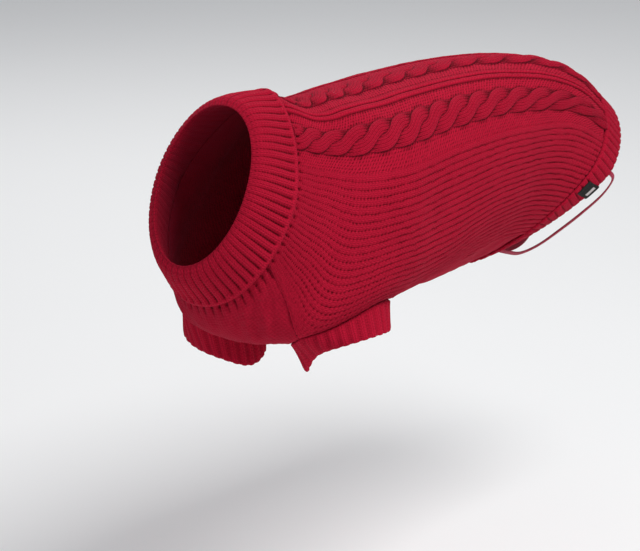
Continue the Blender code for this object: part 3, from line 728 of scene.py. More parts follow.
def uneven(shape, field, side=0):
    """A soft random height, the same on each run."""
    seed, reach, depth = field
    noise = np.random.default_rng(seed + side).standard_normal(shape)
    noise = blur(blur(noise, reach, 0), reach, 1)
    return noise * depth / max(float(noise.std()), 1e-9)


# ---------------------------------------------------------------------------------------------
# The back and front panels
# ---------------------------------------------------------------------------------------------

def puckers(distance, arcs, half, rows_of_pits):
    """Depth of the small pits where the knit is gathered into the collar."""
    pitch = 2 * half / COLLAR_RIBS
    off = (arcs / pitch - 0.5 - np.round(arcs / pitch - 0.5)) * pitch
    pits = 0.0
    for depth, width, middle, reach in rows_of_pits:
        pits = pits + depth * np.exp(-(off / width) ** 2 - ((distance - middle) / reach) ** 2)
    return pits


def seam_dip(distance, dip):
    """A sewn edge is drawn in over a short reach."""
    depth, reach = dip
    return depth * np.exp(-(distance / reach) ** 2)


def sewn_share(stations):
    """How plainly a side seam shows: all of it round the leg holes, little between them and the bands."""
    return np.array([[1.0 if hole_depth(s, 1.0) > 0.0 else SEAM_SHOWS] for s in stations])


def flank(name, side, sizes, material):
    """One flank's ribs, from the side seam up to the purl ground beside the cable."""
    stations, courses = knit_rows(FLANK_ROWS_PER_COURSE)
    course = courses[:, None]
    up = np.linspace(0.0, 1.0, FLANK_RIBS[side] * RIB_COLUMNS + 1)
    rib = up * FLANK_RIBS[side]
    arcs = []
    for station in stations:
        cut = hole_depth(station, HOLE_ABOVE)
        edge = back_edges(station)[0 if side > 0 else 1]
        values = section(station)
        top = values["turn"] + side * values["spread"] * PURL_OUTER
        low = edge + side * cut
        arcs.append(low + (top - low) * rib_places(station, up) - side * rib_bend(station, cut, up))
    arcs = np.array(arcs)
    halves = np.array([half_length(s) for s in stations])[:, None]
    from_collar = along_line(stations, FLANK_LINE)[:, None]
    to_rear = from_collar[-1] - from_collar
    from_edge = np.abs(arcs - arcs[:, :1])
    leg_station, reach_along, reach_up = PITTED_BY_LEG
    by_leg = np.exp(-((stations[:, None] - leg_station) / reach_along) ** 2 - (from_edge / reach_up) ** 2)
    by_collar = np.exp(-(from_collar / PITTED_BY_COLLAR) ** 2)
    pitted = PITTED + (1.0 - PITTED) * np.maximum(by_collar, by_leg)
    between = 0.5 - 0.5 * np.cos(2 * math.pi * course)
    dark = groove(rib + uneven(arcs.shape, RIB_WANDER, side), RIB_GROOVE)
    dark *= np.clip(1.0 + uneven(arcs.shape, RIB_VARIES, side), RIB_LEAST, RIB_MOST)
    height = sizes.rib_height * (1.0 - dark * (1.0 - PIT_BRIDGE * pitted * between))
    ahead = stations[:, None] < HOLE_MIDDLE - HOLE_HALF_LENGTH
    faded = ahead * np.exp(-(from_edge / RIBS_FADE) ** 2)
    height += faded * (RIBS_FADE_TO * sizes.rib_height - height)
    middle_width, middle_depth = RIB_MIDDLE
    height -= middle_depth * groove(rib + 0.5, middle_width)
    height += uneven(height.shape, FLANK_UNEVEN, side)
    sewn = sewn_share(stations)
    height -= sewn * seam_dip(from_edge, SIDE_DIP) + seam_dip(from_collar, COLLAR_DIP)
    height -= seam_dip(to_rear, REAR_DIP) + puckers(from_collar, arcs, halves, (PUCKERS,))
    shade = hollows(height, FLANK_SHADE) + sewn * seam_dip(from_edge, SEAM_SHADE)
    shade += seam_dip(to_rear, SEAM_SHADE)
    knit = knit_of(height.shape, rib * 2, course, GROOVE_PURL * dark)
    return panel(name, (stations, courses, arcs), height, knit, shade, sizes, material)


def panel(name, places, height, knit, shade, sizes, material):
    """A cloth panel with this relief on its outside and a plain inside."""
    stations, courses, arcs = places
    rows = np.array([skin(s, a, h) for s, a, h in zip(stations, arcs, height)])
    cloth = Cloth()
    outer = cloth.add(rows, knit, np.clip(shade, 0.0, 1.0))
    add_inside(cloth, outer, stations, arcs, courses, sizes)
    return cloth.build(name, material)


def add_inside(cloth, outer, stations, arcs, courses, sizes):
    """Close a panel with a plain inner side, whose edges follow the outer ones."""
    every_row, every_column = INNER_EVERY
    rows = sorted({*range(0, len(stations), every_row), len(stations) - 1})
    columns = sorted({*range(0, arcs.shape[1], every_column), arcs.shape[1] - 1})
    inner = np.array([skin(stations[r], arcs[r, columns], -sizes.wall) for r in rows])
    knit = knit_of(inner.shape[:-1], arcs[np.ix_(rows, columns)] / WALE, courses[rows][:, None], 1.0)
    inside = cloth.add(inner, knit, PANEL_INSIDE)
    cloth.grid(outer)
    cloth.grid(inside, flip=True)
    for edge in (np.s_[0], np.s_[-1], np.s_[:, 0], np.s_[:, -1]):
        cloth.zip(outer[edge], inside[edge])


def cable_relief(along, across, sizes):
    """Height of a cable at places along it and to the left of its middle, with its stitches and shade."""
    place = crossings(along) - FIRST_CROSSING
    pitch = CABLE_PITCH * (1.0 + along / PITCH_DOUBLES)
    height = np.full((along.shape[0], across.shape[1]), -1.0)
    wale, course, shade = (np.zeros_like(height) for _ in range(3))
    for strand in range(-2, math.ceil(place.max()) + 2):
        way = place - strand
        angle = np.clip(way / CROSSING_HALF, -1.0, 1.0) * math.pi / 2
        beyond = np.clip(np.abs(way) - CROSSING_HALF, 0.0, None) / (STRAND_REACH - CROSSING_HALF)
        path = -STRAND_SWING * np.sin(angle) * (1.0 - SCALLOP * beyond**2)
        slope = STRAND_SWING * math.pi / 2 * np.cos(angle) / (CROSSING_HALF * pitch)
        half = STRAND_HALF * (1.0 - STRAND_SLIM * np.cos(angle)) * np.hypot(1.0, slope)
        off = (across - path) / half
        on_it = (np.abs(way) < STRAND_REACH) & (np.abs(off) < 1.0)
        body = np.clip(1.0 - np.abs(off) ** STRAND_POWER, 0.0, 1.0) ** 0.5
        lines = (off + 1.0) / 2 * STRAND_WALES
        chains = CHAIN_DEPTH * groove(lines, CHAIN_GROOVE) * (np.abs(off) < CHAIN_END)
        here = np.where(on_it, sizes.cable_height * (1.0 - TUCK * way**2) * body - chains, -1.0)
        over = here > height
        height = np.where(over, here, height)
        wale = np.where(over, lines, wale)
        course = np.where(over, way * COURSES_PER_CROSSING, course)
        pocket = POCKET_SHADE * np.exp(-((np.abs(way) - POCKET_AT) / POCKET_REACH) ** 2)
        shade = np.where(over, pocket, shade)
    return height, wale, course, shade


def back_cables(name, sizes, material):
    """The twin ribs along the back, a cable on each side of them and the purl ground round both."""
    stations, courses = knit_rows(CABLE_ROWS_PER_COURSE)
    along = along_line(stations)[:, None]
    offset = back_columns()[None, :]
    middle = (CABLE_OUTER + CABLE_INNER) / 2
    beside = offset - np.where(offset < 0.0, -middle, middle)
    cable, strand_wale, strand_course, pockets = cable_relief(along, beside, sizes)
    on_strand = cable > 0.0
    on_ridge = np.abs(offset) < RIDGE_HALF
    twin = np.abs(np.sin(math.pi * np.clip(offset / RIDGE_HALF, -1.0, 1.0))) ** TWIN_POWER
    climbing = courses[:, None] + TICK_SLANT * offset / WALE + uneven(cable.shape, TICKS_UNEVEN)
    ticks = 0.5 - 0.5 * np.cos(2 * math.pi * climbing)
    ground = -TICK_DEPTH * ticks * (TICK_BASE + TICK_WAVE * np.cos(2 * math.pi * offset / WALE))
    height = np.where(on_strand, cable, np.where(on_ridge, sizes.ridge_height * twin, ground))
    height -= seam_dip(np.abs(offset) - RIDGE_HALF, RIDGE_DIP)
    height += uneven(height.shape, BACK_UNEVEN)
    values = [section(s) for s in stations]
    turn = np.array([v["turn"] for v in values])[:, None]
    spread = np.array([v["spread"] for v in values])[:, None]
    halves = np.array([half_length(s) for s in stations])[:, None]
    arcs = turn + spread * offset
    to_rear = along[-1] - along
    height -= seam_dip(along, COLLAR_DIP) + seam_dip(to_rear, REAR_DIP)
    height -= puckers(along, arcs, halves, (PUCKERS,))
    wale = np.where(on_strand, strand_wale, np.where(on_ridge, offset / RIDGE_HALF, offset / WALE))
    rows_of = np.where(on_strand, strand_course, courses[:, None])
    purl = np.where(on_strand | on_ridge, 0.0, 1.0)
    shade = hollows(height, BACK_SHADE) + seam_dip(to_rear, SEAM_SHADE)
    # painted shade in the pockets where strands go under, darker toward the ridge
    shade += np.where(on_strand, pockets * (POCKET_MEAN - POCKET_SIDE * np.sign(beside * offset)), 0.0)
    knit = knit_of(height.shape, wale, rows_of, purl)
    return panel(name, (stations, courses, arcs), height, knit, shade, sizes, material)


def front(name, sizes, material):
    """The plain chest and belly panel."""
    stations, courses = knit_rows(FRONT_ROWS_PER_COURSE)
    belly = along_line(stations, BELLY_LINE)[:, None]
    to_rear = belly[-1] - belly
    edges = np.array([front_edges(s) for s in stations])
    columns = round(float((edges[:, 1] - edges[:, 0]).max()) / PLAIN_STEP) + 1
    arcs = np.linspace(edges[:, 0], edges[:, 1], columns, axis=1)
    halves = np.array([half_length(s) for s in stations])[:, None]
    from_left, from_right = arcs - arcs[:, :1], arcs[:, -1:] - arcs
    height = uneven(arcs.shape, FRONT_UNEVEN) + uneven(arcs.shape, FRONT_WAVY)
    sewn = sewn_share(stations)
    height -= sewn * (seam_dip(from_left, SIDE_DIP) + seam_dip(from_right, SIDE_DIP))
    height -= seam_dip(to_rear, BELLY_REAR_DIP) + seam_dip(belly, COLLAR_DIP)
    height -= puckers(belly, arcs, halves, (PUCKERS, LONG_PUCKERS))
    shade = hollows(height, FRONT_SHADE) + seam_dip(to_rear, SEAM_SHADE)
    shade += sewn * (seam_dip(from_left, SEAM_SHADE) + seam_dip(from_right, SEAM_SHADE))
    knit = knit_of(arcs.shape, arcs / WALE, belly / COURSE, 0.0)
    return panel(name, (stations, courses, arcs), height, knit, shade, sizes, material)


# ---------------------------------------------------------------------------------------------
# Bands
# ---------------------------------------------------------------------------------------------

def band_rows(first, last, mesh):
    """Places on a band and how far inside each lies: down its outside, round its edge and back."""
    outside, fold, inside = mesh
    return ([(at, 0.0) for at in np.linspace(first, last, outside)] + [(last, turned) for turned in fold]
            + [(at, 1.0) for at in np.linspace(last, first, inside)])


def rolled(inside, reach):
    """How far a band's edge bulges past its end."""
    return reach * math.sin(math.pi * inside) if 0.0 < inside < 1.0 else 0.0


def swollen(down, swell):
    """How far a band lies out of its seam's surface, this share of the way down it."""
    least, bulge, speed, seam, reach = swell
    return least + bulge * math.sin(math.pi * min(1.0, down * speed)) - seam * math.exp(-(down / reach) ** 2)


def tube(name, rows, knit, hollow, material):
    """A closed band whose rows go all the way round."""
    cloth = Cloth()
    index = closed(cloth.add(rows, np.array(knit), hollow))
    cloth.grid(np.concatenate([index, index[:1]]))
    return cloth.build(name, material)


def collar(name, sizes, material):
    """The doubled rib collar, with a rolled rim at the seam and a fold at the neck."""
    seam = half_ring(section(0.0))
    neck = half_ring(NECK_RING)
    across = plane_normal(0.0)
    count = COLLAR_RIBS * COLLAR_RIB_COLUMNS
    shares = np.arange(count) / count
    low = on_ring(seam, shares * 2 * seam[1][-1])
    high = on_ring(neck, shares * 2 * neck[1][-1])
    rib = shares * COLLAR_RIBS
    table = np.array(COLLAR_ROWS, float)
    slopes = np.gradient(table, table[:, 0], axis=0)
    reach = float(np.linalg.norm(high - low, axis=1).mean())

    def ring(along, height):
        base = low + (high - low) * along
        out = np.cross(np.roll(base, -1, axis=0) - np.roll(base, 1, axis=0), low - high)
        out /= np.linalg.norm(out, axis=1, keepdims=True)
        flat = max(0.0, 1.0 - along / COLLAR_FLAT)
        out -= flat * (out @ across)[:, None] * across
        out /= np.linalg.norm(out, axis=1, keepdims=True)
        return base + out * np.broadcast_to(height, count)[:, None] - across * SEAM_GAP / 2 * (along == 0)

    def rib_depth(along):
        start = min(1.0, max(0.0, (along - rise_from) / rise_over))
        taper = 1.0 - COLLAR_TAPER * min(1.0, max(0.0, (along - taper_from) / taper_over))
        return sizes.collar_rib * start * taper

    rise_from, rise_over = COLLAR_RISE
    taper_from, taper_over = COLLAR_TAPER_AT
    low_width, high_width = COLLAR_GROOVES
    middle_width, middle_depth = COLLAR_MIDDLE
    points, heights, knit = [], [], []
    for along, inside in band_rows(0.0, table[-1, 0], COLLAR_MESH):
        _, outer, inner = hermite(along, table, slopes)
        depth = rib_depth(along)
        dark = groove(rib, low_width + (high_width - low_width) * min(1.0, along))
        soft = middle_depth * groove(rib + 0.5, middle_width) * min(1.0, depth)
        if inside == 0.0:
            height = outer + 0.5 * depth - depth * dark - soft
        elif inside == 1.0:
            height = inner + COLLAR_INNER * dark
        else:
            height = outer + (inner - outer) * inside - COLLAR_ON_FOLD * dark
        points.append(ring(along + rolled(inside, COLLAR_ROLL) / reach, height))
        heights.append(height)
        knit.append(knit_of((count,), rib * 2, along * reach / COURSE, GROOVE_PURL * dark))
    hollow = hollows(np.array(heights), COLLAR_SHADE, around=True)
    hollow[COLLAR_MESH[0]:] = COLLAR_INSIDE
    return tube(name, points, knit, hollow, material)


def hole_loop(side):
    """Points a little inside a leg hole's edge, from its back over the top to the front and round."""
    points = []
    way = [(k, HOLE_ABOVE, -1) for k in range(HOLE_STEPS, -1, -1)]
    way += [(k, HOLE_BELOW, 1) for k in range(1, HOLE_STEPS)]
    for k, depth, sign in way:
        along = -HOLE_HALF_LENGTH * math.cos(math.pi * k / HOLE_STEPS)
        station = HOLE_MIDDLE + along * HOLE_SHRINK
        arc = seam_arc(station, side) + sign * HOLE_SHRINK * hole_depth(HOLE_MIDDLE + along, depth)
        points.append(skin(station, [side * arc], 0.0)[0])
    return np.array(points)


def even_loop(points, shares):
    """A closed loop's points at shares of the way round it."""
    around = np.concatenate([points, points[:1]])
    lengths = np.concatenate([[0.0], np.cumsum(np.linalg.norm(np.diff(around, axis=0), axis=1))])
    return np.stack([np.interp(shares * lengths[-1], lengths, around[:, k]) for k in range(3)], axis=1)


def cuff_edge(angles, cuff):
    """A cuff's lower edge at angles round its middle."""
    edge = np.stack([np.cos(angles), np.sin(angles), 0 * angles], axis=1) * CUFF_RADIUS
    from_front = np.degrees(cuff["side"] * (math.pi - angles))
    from_tip = (from_front - cuff["tip_at"] + 180) % 360 - 180
    from_lift = (from_front - CUFF_LIFT_AT + 180) % 360 - 180
    edge[:, 2] = (-cuff["side"] * edge[:, 1] * cuff["rise"]
                  - cuff["tip_drop"] * np.exp(-(from_tip / cuff["tip_reach"]) ** 2)
                  + cuff["lift"] * np.exp(-(from_lift / CUFF_LIFT_REACH) ** 2))
    return edge + (cuff["x"], cuff["y"], cuff["z"])


def cuff_band(cuff, sizes, material):
    """A rib cuff, from the leg hole's edge down to a tilted ring."""
    side = cuff["side"]
    loop = hole_loop(side)
    back, front_end = loop[0], loop[HOLE_STEPS]
    start = math.atan2(back[1] - front_end[1], back[0] - front_end[0])
    centre = np.array([cuff["x"], cuff["y"], cuff["z"]])
    count = CUFF_RIBS * CUFF_RIB_COLUMNS
    shares = np.arange(count) / count
    high = even_loop(loop, shares)
    edge = cuff_edge(start - side * 2 * math.pi * shares, cuff)
    reach = float(np.linalg.norm(edge - high, axis=1).mean())

    def points(down, height):
        base = high + (edge - high) * down
        out = base - (high.mean(axis=0) + (centre - high.mean(axis=0)) * down)
        out[:, 2] = 0.0
        out /= np.linalg.norm(out, axis=1, keepdims=True)
        return base + out * np.broadcast_to(height, count)[:, None]

    middle_width, middle_depth = CUFF_MIDDLE
    rows, heights, knit = [], [], []
    for down, inside in band_rows(0.0, 1.0, CUFF_MESH):
        rib = (shares - CUFF_LEAN[side] * down) * CUFF_RIBS
        dark = paired(rib, CUFF_GROOVE)
        start = min(1.0, down / RIB_START)
        fading = CUFF_FADE * max(0.0, (down - CUFF_FADE_FROM) / (1.0 - CUFF_FADE_FROM))
        depth = sizes.cuff_rib * start * (1.0 - fading)
        middle = middle_depth * start * groove(rib + 0.5, middle_width)
        outside = swollen(down, CUFF_SWELL) + depth * (1.0 - dark) - middle
        inner = -sizes.wall + INNER_RELIEF * dark
        height = outside + (inner - outside) * inside
        scallop = (0.5 - dark) * max(0.0, down - SCALLOP_FROM) / (1.0 - SCALLOP_FROM)
        rows.append(points(down + ((rolled(inside, CUFF_ROLL) + scallop) / reach)[:, None], height))
        heights.append(height)
        knit.append(knit_of((count,), rib * 2, down * reach / COURSE, GROOVE_PURL * dark))
    hollow = hollows(np.array(heights), CUFF_SHADE, around=True)
    hollow[CUFF_MESH[0] + len(CUFF_MESH[1]):] = BAND_INSIDE
    return tube(cuff["name"] + "_rib", rows, knit, hollow, material)


def hem_lean(station, arcs, ends):
    """How far the rear band's ribs lean down round the body, less near its ends and its middles."""
    middles = np.tanh(arcs / HEM_LEAN_REACH) * np.tanh((half_length(station) - np.abs(arcs)) / HEM_LEAN_REACH)
    from_end = np.minimum(np.abs(arcs - ends[0]), np.abs(arcs - ends[1]))
    return HEM_LEAN * middles * np.minimum(1.0, from_end / HEM_LEAN_REACH)


def hem(name, edges, sizes, material):
    """A rib band on the rear edge, between the side seams."""
    first, last = edges(1.0)
    ribs = round(abs(last - first) / HEM_RIB_PITCH)
    shares = np.linspace(0.0, 1.0, ribs * HEM_RIB_COLUMNS + 1)
    rib = shares * ribs
    dark = groove(rib, HEM_GROOVE)
    middle_width, middle_depth = HEM_MIDDLE
    rows, heights, knit = [], [], []
    for station, inside in band_rows(HEM_START, 1.0, HEM_MESH):
        down = (station - HEM_START) / (1.0 - HEM_START)
        depth = sizes.hem_rib * min(1.0, down / HEM_START_REACH) * (1.0 - HEM_FADE * down)
        middle = middle_depth * groove(rib + 0.5, middle_width) * min(1.0, down / RIB_START)
        outside = swollen(down, HEM_SWELL) + depth * (1.0 - dark) - middle
        inner = -sizes.wall + INNER_RELIEF * dark
        height = outside + (inner - outside) * inside
        shift = SEAM_GAP / 2 if station == HEM_START else rolled(inside, HEM_ROLL)
        start, stop = edges(station)
        arcs = start + (stop - start) * shares
        arcs += hem_lean(station, arcs, (start, stop)) * down
        rows.append(skin(station, arcs, height, shift))
        heights.append(height)
        knit.append(knit_of((len(rib),), rib * 3, down * HEM_REACH / COURSE, GROOVE_PURL * dark))
    hollow = hollows(np.array(heights), HEM_SHADE)
    hollow[HEM_MESH[0] + len(HEM_MESH[1]):] = BAND_INSIDE
    cloth = Cloth()
    index = cloth.add(rows, np.array(knit), hollow)
    cloth.grid(np.concatenate([index, index[:1]]))
    cloth.faces += [index[:, 0].tolist(), index[:, -1].tolist()]
    return cloth.build(name, material)


# ---------------------------------------------------------------------------------------------
# Label and leg loops
# ---------------------------------------------------------------------------------------------

def label(name, sizes, material):
    """A woven label sewn on the rear band and folded over its edge."""
    half = half_length(1.0)
    across = np.linspace(-0.5, 0.5, LABEL_COLUMNS)
    arcs = LABEL_AT * half + across * LABEL_LENGTH
    over = sizes.hem_rib + LABEL_ABOVE
    on_band, on_edge, on_inside = LABEL_ROWS
    places = [(s, over, 0.0) for s in np.linspace(LABEL_START, 1.0, on_band)]
    radius = (over + sizes.wall + LABEL_BELOW) / 2
    for turn in np.linspace(0.0, math.pi, on_edge)[1:]:
        past = LABEL_PAST_EDGE * math.sin(turn) + LABEL_GAP
        places.append((1.0, over - radius + radius * math.cos(turn), past))
    places += [(s, over - 2 * radius, 0.0) for s in np.linspace(1.0, LABEL_END, on_inside)[1:]]
    outer, knit = [], []
    walked = 0.0
    middle = len(arcs) // 2
    for station, height, shift in places:
        line = skin(station, arcs, height, shift)
        walked += float(np.linalg.norm(line[middle] - outer[-1][middle])) if outer else 0.0
        outer.append(line)
        knit.append(knit_of((len(arcs),), across * LABEL_LENGTH, walked, 0.0))
    outer = np.array(outer)
    flow = np.gradient(outer, axis=0)
    side_way = np.gradient(outer, axis=1)
    out = np.cross(side_way, flow)
    out /= np.linalg.norm(out, axis=-1, keepdims=True)
    rim = LABEL_THICK / 2 * (1.0 - np.abs(2 * across) ** LABEL_RIM_POWER)[None, :, None]
    cloth = Cloth()
    top = cloth.add(outer + out * rim, np.array(knit), 0.0)
    low = cloth.add(outer - out * rim, np.array(knit), 0.2)
    cloth.grid(top)
    cloth.grid(low, flip=True)
    for edge in (np.s_[0], np.s_[-1], np.s_[:, 0], np.s_[:, -1]):
        cloth.grid(np.stack([top[edge], low[edge]]))
    return cloth.build(name, material)


def smooth_path(points, between):
    """A Catmull-Rom curve through the points, with this many steps from one to the next."""
    ends = np.concatenate([[2 * points[0] - points[1]], points, [2 * points[-1] - points[-2]]])
    path = []
    for a, b, c, d in zip(ends[:-3], ends[1:-2], ends[2:-1], ends[3:]):
        for t in np.arange(between) / between:
            path.append(0.5 * (2 * b + (c - a) * t + (2 * a - 5 * b + 4 * c - d) * t**2
                               + (3 * b - a - 3 * c + d) * t**3))
    return np.array([*path, points[-1]])


def leg_loop(name, side, sizes, material):
    """An elastic strap, flat toward the leg, sewn to the inside of both rear bands."""
    inside = -(sizes.wall + LOOP_CLEARANCE + LOOP_THICKNESS / 2)
    half = half_length(1.0)
    on_belly = side * LOOP_ON_BELLY * half
    on_rear = side * LOOP_ON_REAR * half
    belly = [skin(s, [on_belly], inside, shift)[0] for s, shift in LOOP_SEWN]
    rear = [skin(s, [on_rear], inside, shift)[0] for s, shift in LOOP_SEWN[::-1]]
    free = [np.array([x, -side * y, z]) for x, y, z in LOOP_ROUTE]
    path = smooth_path(np.array(belly + free + rear), LOOP_STEPS)
    tangent = np.gradient(path, axis=0)
    tangent /= np.linalg.norm(tangent, axis=1, keepdims=True)
    faces_out = [np.diff(skin(LOOP_SEWN[0][0], [arc, arc], np.array([0.0, 1.0])), axis=0)[0]
                 for arc in (on_belly, on_rear)]
    flat = np.linspace(*faces_out, len(path))
    flat -= (flat * tangent).sum(axis=1, keepdims=True) * tangent
    flat /= np.linalg.norm(flat, axis=1, keepdims=True)
    width = np.cross(tangent, flat)
    walked = np.concatenate([[0.0], np.cumsum(np.linalg.norm(np.diff(path, axis=0), axis=1))])
    angle = 2 * math.pi * np.arange(LOOP_CORNERS) / LOOP_CORNERS
    wide_power, tall_power = LOOP_POWERS
    wide = np.sign(np.cos(angle)) * np.abs(np.cos(angle)) ** wide_power
    tall = np.sign(np.sin(angle)) * np.abs(np.sin(angle)) ** tall_power
    strands = 1.0 + STRAND_RELIEF * np.cos(wide * LOOP_STRANDS * math.pi)
    rows = (path[:, None] + width[:, None] * (wide * LOOP_WIDTH / 2)[None, :, None]
            + flat[:, None] * (tall * strands * LOOP_THICKNESS / 2)[None, :, None])
    knit = knit_of(rows.shape[:-1], (wide * LOOP_WIDTH / 2)[None, :], walked[:, None], 0.0)
    cloth = Cloth()
    index = closed(cloth.add(rows, knit, 0.0))
    cloth.grid(index)
    cloth.faces += [index[0, :-1].tolist(), index[-1, :-1].tolist()]
    return cloth.build(name, material)


# ---------------------------------------------------------------------------------------------
# Materials
# ---------------------------------------------------------------------------------------------

# Scales of the noises in the finishes, as waves in a metre of the object
WANDER_SCALE = 240.0
FUZZ_SCALE = 2600.0
TONE_SCALE = 28.0
SPECK_SCALE = 900.0
RAGGED_SCALE = 3000.0
FLOOR_CLOUD_SCALE = 1.5
FLOOR_GRAIN_SCALE = 60.0

STITCH_LEG_SLANT = -0.62   # rows by which a stitch's legs fall from its edge to its middle
# painted shade: these two set how dark the yarn is painted between stitches and in the knit's hollows
STITCH_GAP_SHADE = 0.55    # how dark it is between stitches and in the knit's hollows
HOLLOW_SHADE = 0.85
LABEL_THREAD = 0.45        # spacing of the label's threads and of its warp, in millimetres
LABEL_WARP = 0.6
LABEL_BAR_HALF = (6.0, 2.1)  # half length and half width of its bar
LABEL_BAR_DOWN = 14.0      # distance of the bar's middle from the label's sewn edge
ELASTIC_RIB = 1.15         # spacing of the elastic's ribs and of the threads along it
ELASTIC_THREAD = 0.9


class Shading:
    """A material's nodes, each made with what feeds it."""

    def __init__(self, name):
        self.material = bpy.data.materials.new(name)
        self.material.use_nodes = True
        self.tree = self.material.node_tree
        self.shader = self.tree.nodes["Principled BSDF"]

    def node(self, kind, feeds=(), **settings):
        """A node, with sockets or values for its inputs."""
        made = self.tree.nodes.new(kind)
        for key, value in settings.items():
            setattr(made, key, value)
        for key, value in dict(feeds).items():
            if isinstance(value, bpy.types.NodeSocket):
                self.tree.links.new(value, made.inputs[key])
            else:
                made.inputs[key].default_value = value
        return made

    def math(self, operation, *values):
        """The result of one sum on sockets or values."""
        return self.node("ShaderNodeMath", enumerate(values), operation=operation).outputs[0]

    def attribute(self, name):
        """What the mesh says at each point under this name."""
        return self.node("ShaderNodeAttribute", attribute_name=name)

    def noise(self, scale, detail, roughness=0.5):
        """Soft noise in the object's own space."""
        place = self.node("ShaderNodeTexCoord").outputs["Object"]
        return self.node("ShaderNodeTexNoise", {"Vector": place, "Scale": scale, "Detail": detail,
                                                "Roughness": roughness}).outputs["Fac"]

    def mix(self, share_, first, second):
        """Colours or sockets of colour, mixed."""
        made = self.node("ShaderNodeMix", data_type="RGBA")
        for index, value in ((0, share_), (6, first), (7, second)):
            if isinstance(value, bpy.types.NodeSocket):
                self.tree.links.new(value, made.inputs[index])
            else:
                made.inputs[index].default_value = value if index == 0 else (*value, 1.0)
        return made.outputs[2]

    def bump(self, height, distance, strength=1.0, normal=None):
        """A normal from a height, over another normal where one is given."""
        feeds = {"Height": height, "Distance": distance, "Strength": strength}
        if normal is not None:
            feeds["Normal"] = normal
        return self.node("ShaderNodeBump", feeds).outputs["Normal"]

    def finish(self, colour_socket, normal, roughness, **constants):
        """Feed the shader and return the material."""
        self.tree.links.new(colour_socket, self.shader.inputs["Base Color"])
        self.tree.links.new(normal, self.shader.inputs["Normal"])
        self.shader.inputs["Roughness"].default_value = roughness
        for key, value in constants.items():
            self.shader.inputs[key.replace("_", " ")].default_value = value
        return self.material


def yarn_material(name, context):
    """Knitted yarn: stitches from the mesh's stitch coordinates, painted shade between stitches and in the
    hollows, loose fibres.
    """
    colours = context.scene.sweater_colours
    depth = context.scene.sweater_sizes.stitch
    look = Shading(name)
    place = look.node("ShaderNodeSeparateXYZ", {"Vector": look.attribute("knit").outputs["Vector"]})
    wander = look.math("SUBTRACT", look.noise(WANDER_SCALE, 2.0), 0.5)
    wale = look.math("ADD", place.outputs["X"], look.math("MULTIPLY", wander, 0.25))
    course = look.math("ADD", place.outputs["Y"], look.math("MULTIPLY", wander, 0.55))
    purl = place.outputs["Z"]

    # a knit stitch is a V: two slanting legs, one on each side of its middle
    from_edge = look.math("MULTIPLY", look.math("PINGPONG", wale, 0.5), 2.0)
    legs = look.math("POWER", look.math("SINE", look.math("MULTIPLY", from_edge, math.pi)), 0.55)
    slant = look.math("MULTIPLY_ADD", from_edge, STITCH_LEG_SLANT, course)
    leg_wave = look.math("MULTIPLY_ADD", look.math("COSINE", look.math("MULTIPLY", slant, 2 * math.pi)),
                         0.34, 0.66)
    knit_height = look.math("MULTIPLY", legs, leg_wave)

    # the purl side shows short bumps, close together along each row
    climbing = look.math("MULTIPLY_ADD", wale, TICK_SLANT, course)
    uneven_rows = look.math("MULTIPLY_ADD", wander, 1.1, climbing)
    row_wave = look.math("COSINE", look.math("MULTIPLY", uneven_rows, 2 * math.pi))
    wale_wave = look.math("MULTIPLY_ADD", look.math("COSINE", look.math("MULTIPLY", wale, 2 * math.pi)),
                          0.38, 0.62)
    purl_height = look.math("MULTIPLY_ADD", look.math("MULTIPLY", row_wave, wale_wave), 0.5, 0.5)

    away = look.math("SUBTRACT", 1.0, purl)
    height = look.math("ADD", look.math("MULTIPLY", knit_height, away),
                       look.math("MULTIPLY", purl_height, purl))
    fuzz = look.noise(FUZZ_SCALE, 3.0, 0.65)
    normal = look.bump(fuzz, 0.00018, 0.6, look.bump(height, depth, 0.85))

    # painted shade: darker where the stitch pattern lies low and where the mesh's painted shade says
    gap = look.math("SUBTRACT", 1.0, height)
    between = look.math("MULTIPLY", look.math("POWER", gap, 2.0), STITCH_GAP_SHADE)
    hollow = look.math("MULTIPLY", look.attribute("hollow").outputs["Fac"], HOLLOW_SHADE)
    dark = look.node("ShaderNodeClamp", {"Value": look.math("ADD", between, hollow)}).outputs[0]
    tone = look.noise(TONE_SCALE, 3.0)
    speck = look.noise(SPECK_SCALE, 2.0)
    yarn = colours.yarn
    lighter = tuple(min(1.0, 1.22 * c + 0.004) for c in yarn)
    deeper = tuple(0.80 * c for c in yarn)
    base = look.mix(look.math("MULTIPLY_ADD", speck, 0.5, look.math("MULTIPLY", tone, 0.5)), deeper,
                    lighter)
    # the painted shade mixes the yarn toward the deep red groove colour
    tint = look.mix(dark, base, tuple(colours.groove))
    return look.finish(tint, normal, 0.92, Specular_IOR_Level=0.08, Sheen_Weight=0.07,
                       Sheen_Roughness=0.32, Sheen_Tint=(*colours.sheen, 1.0))


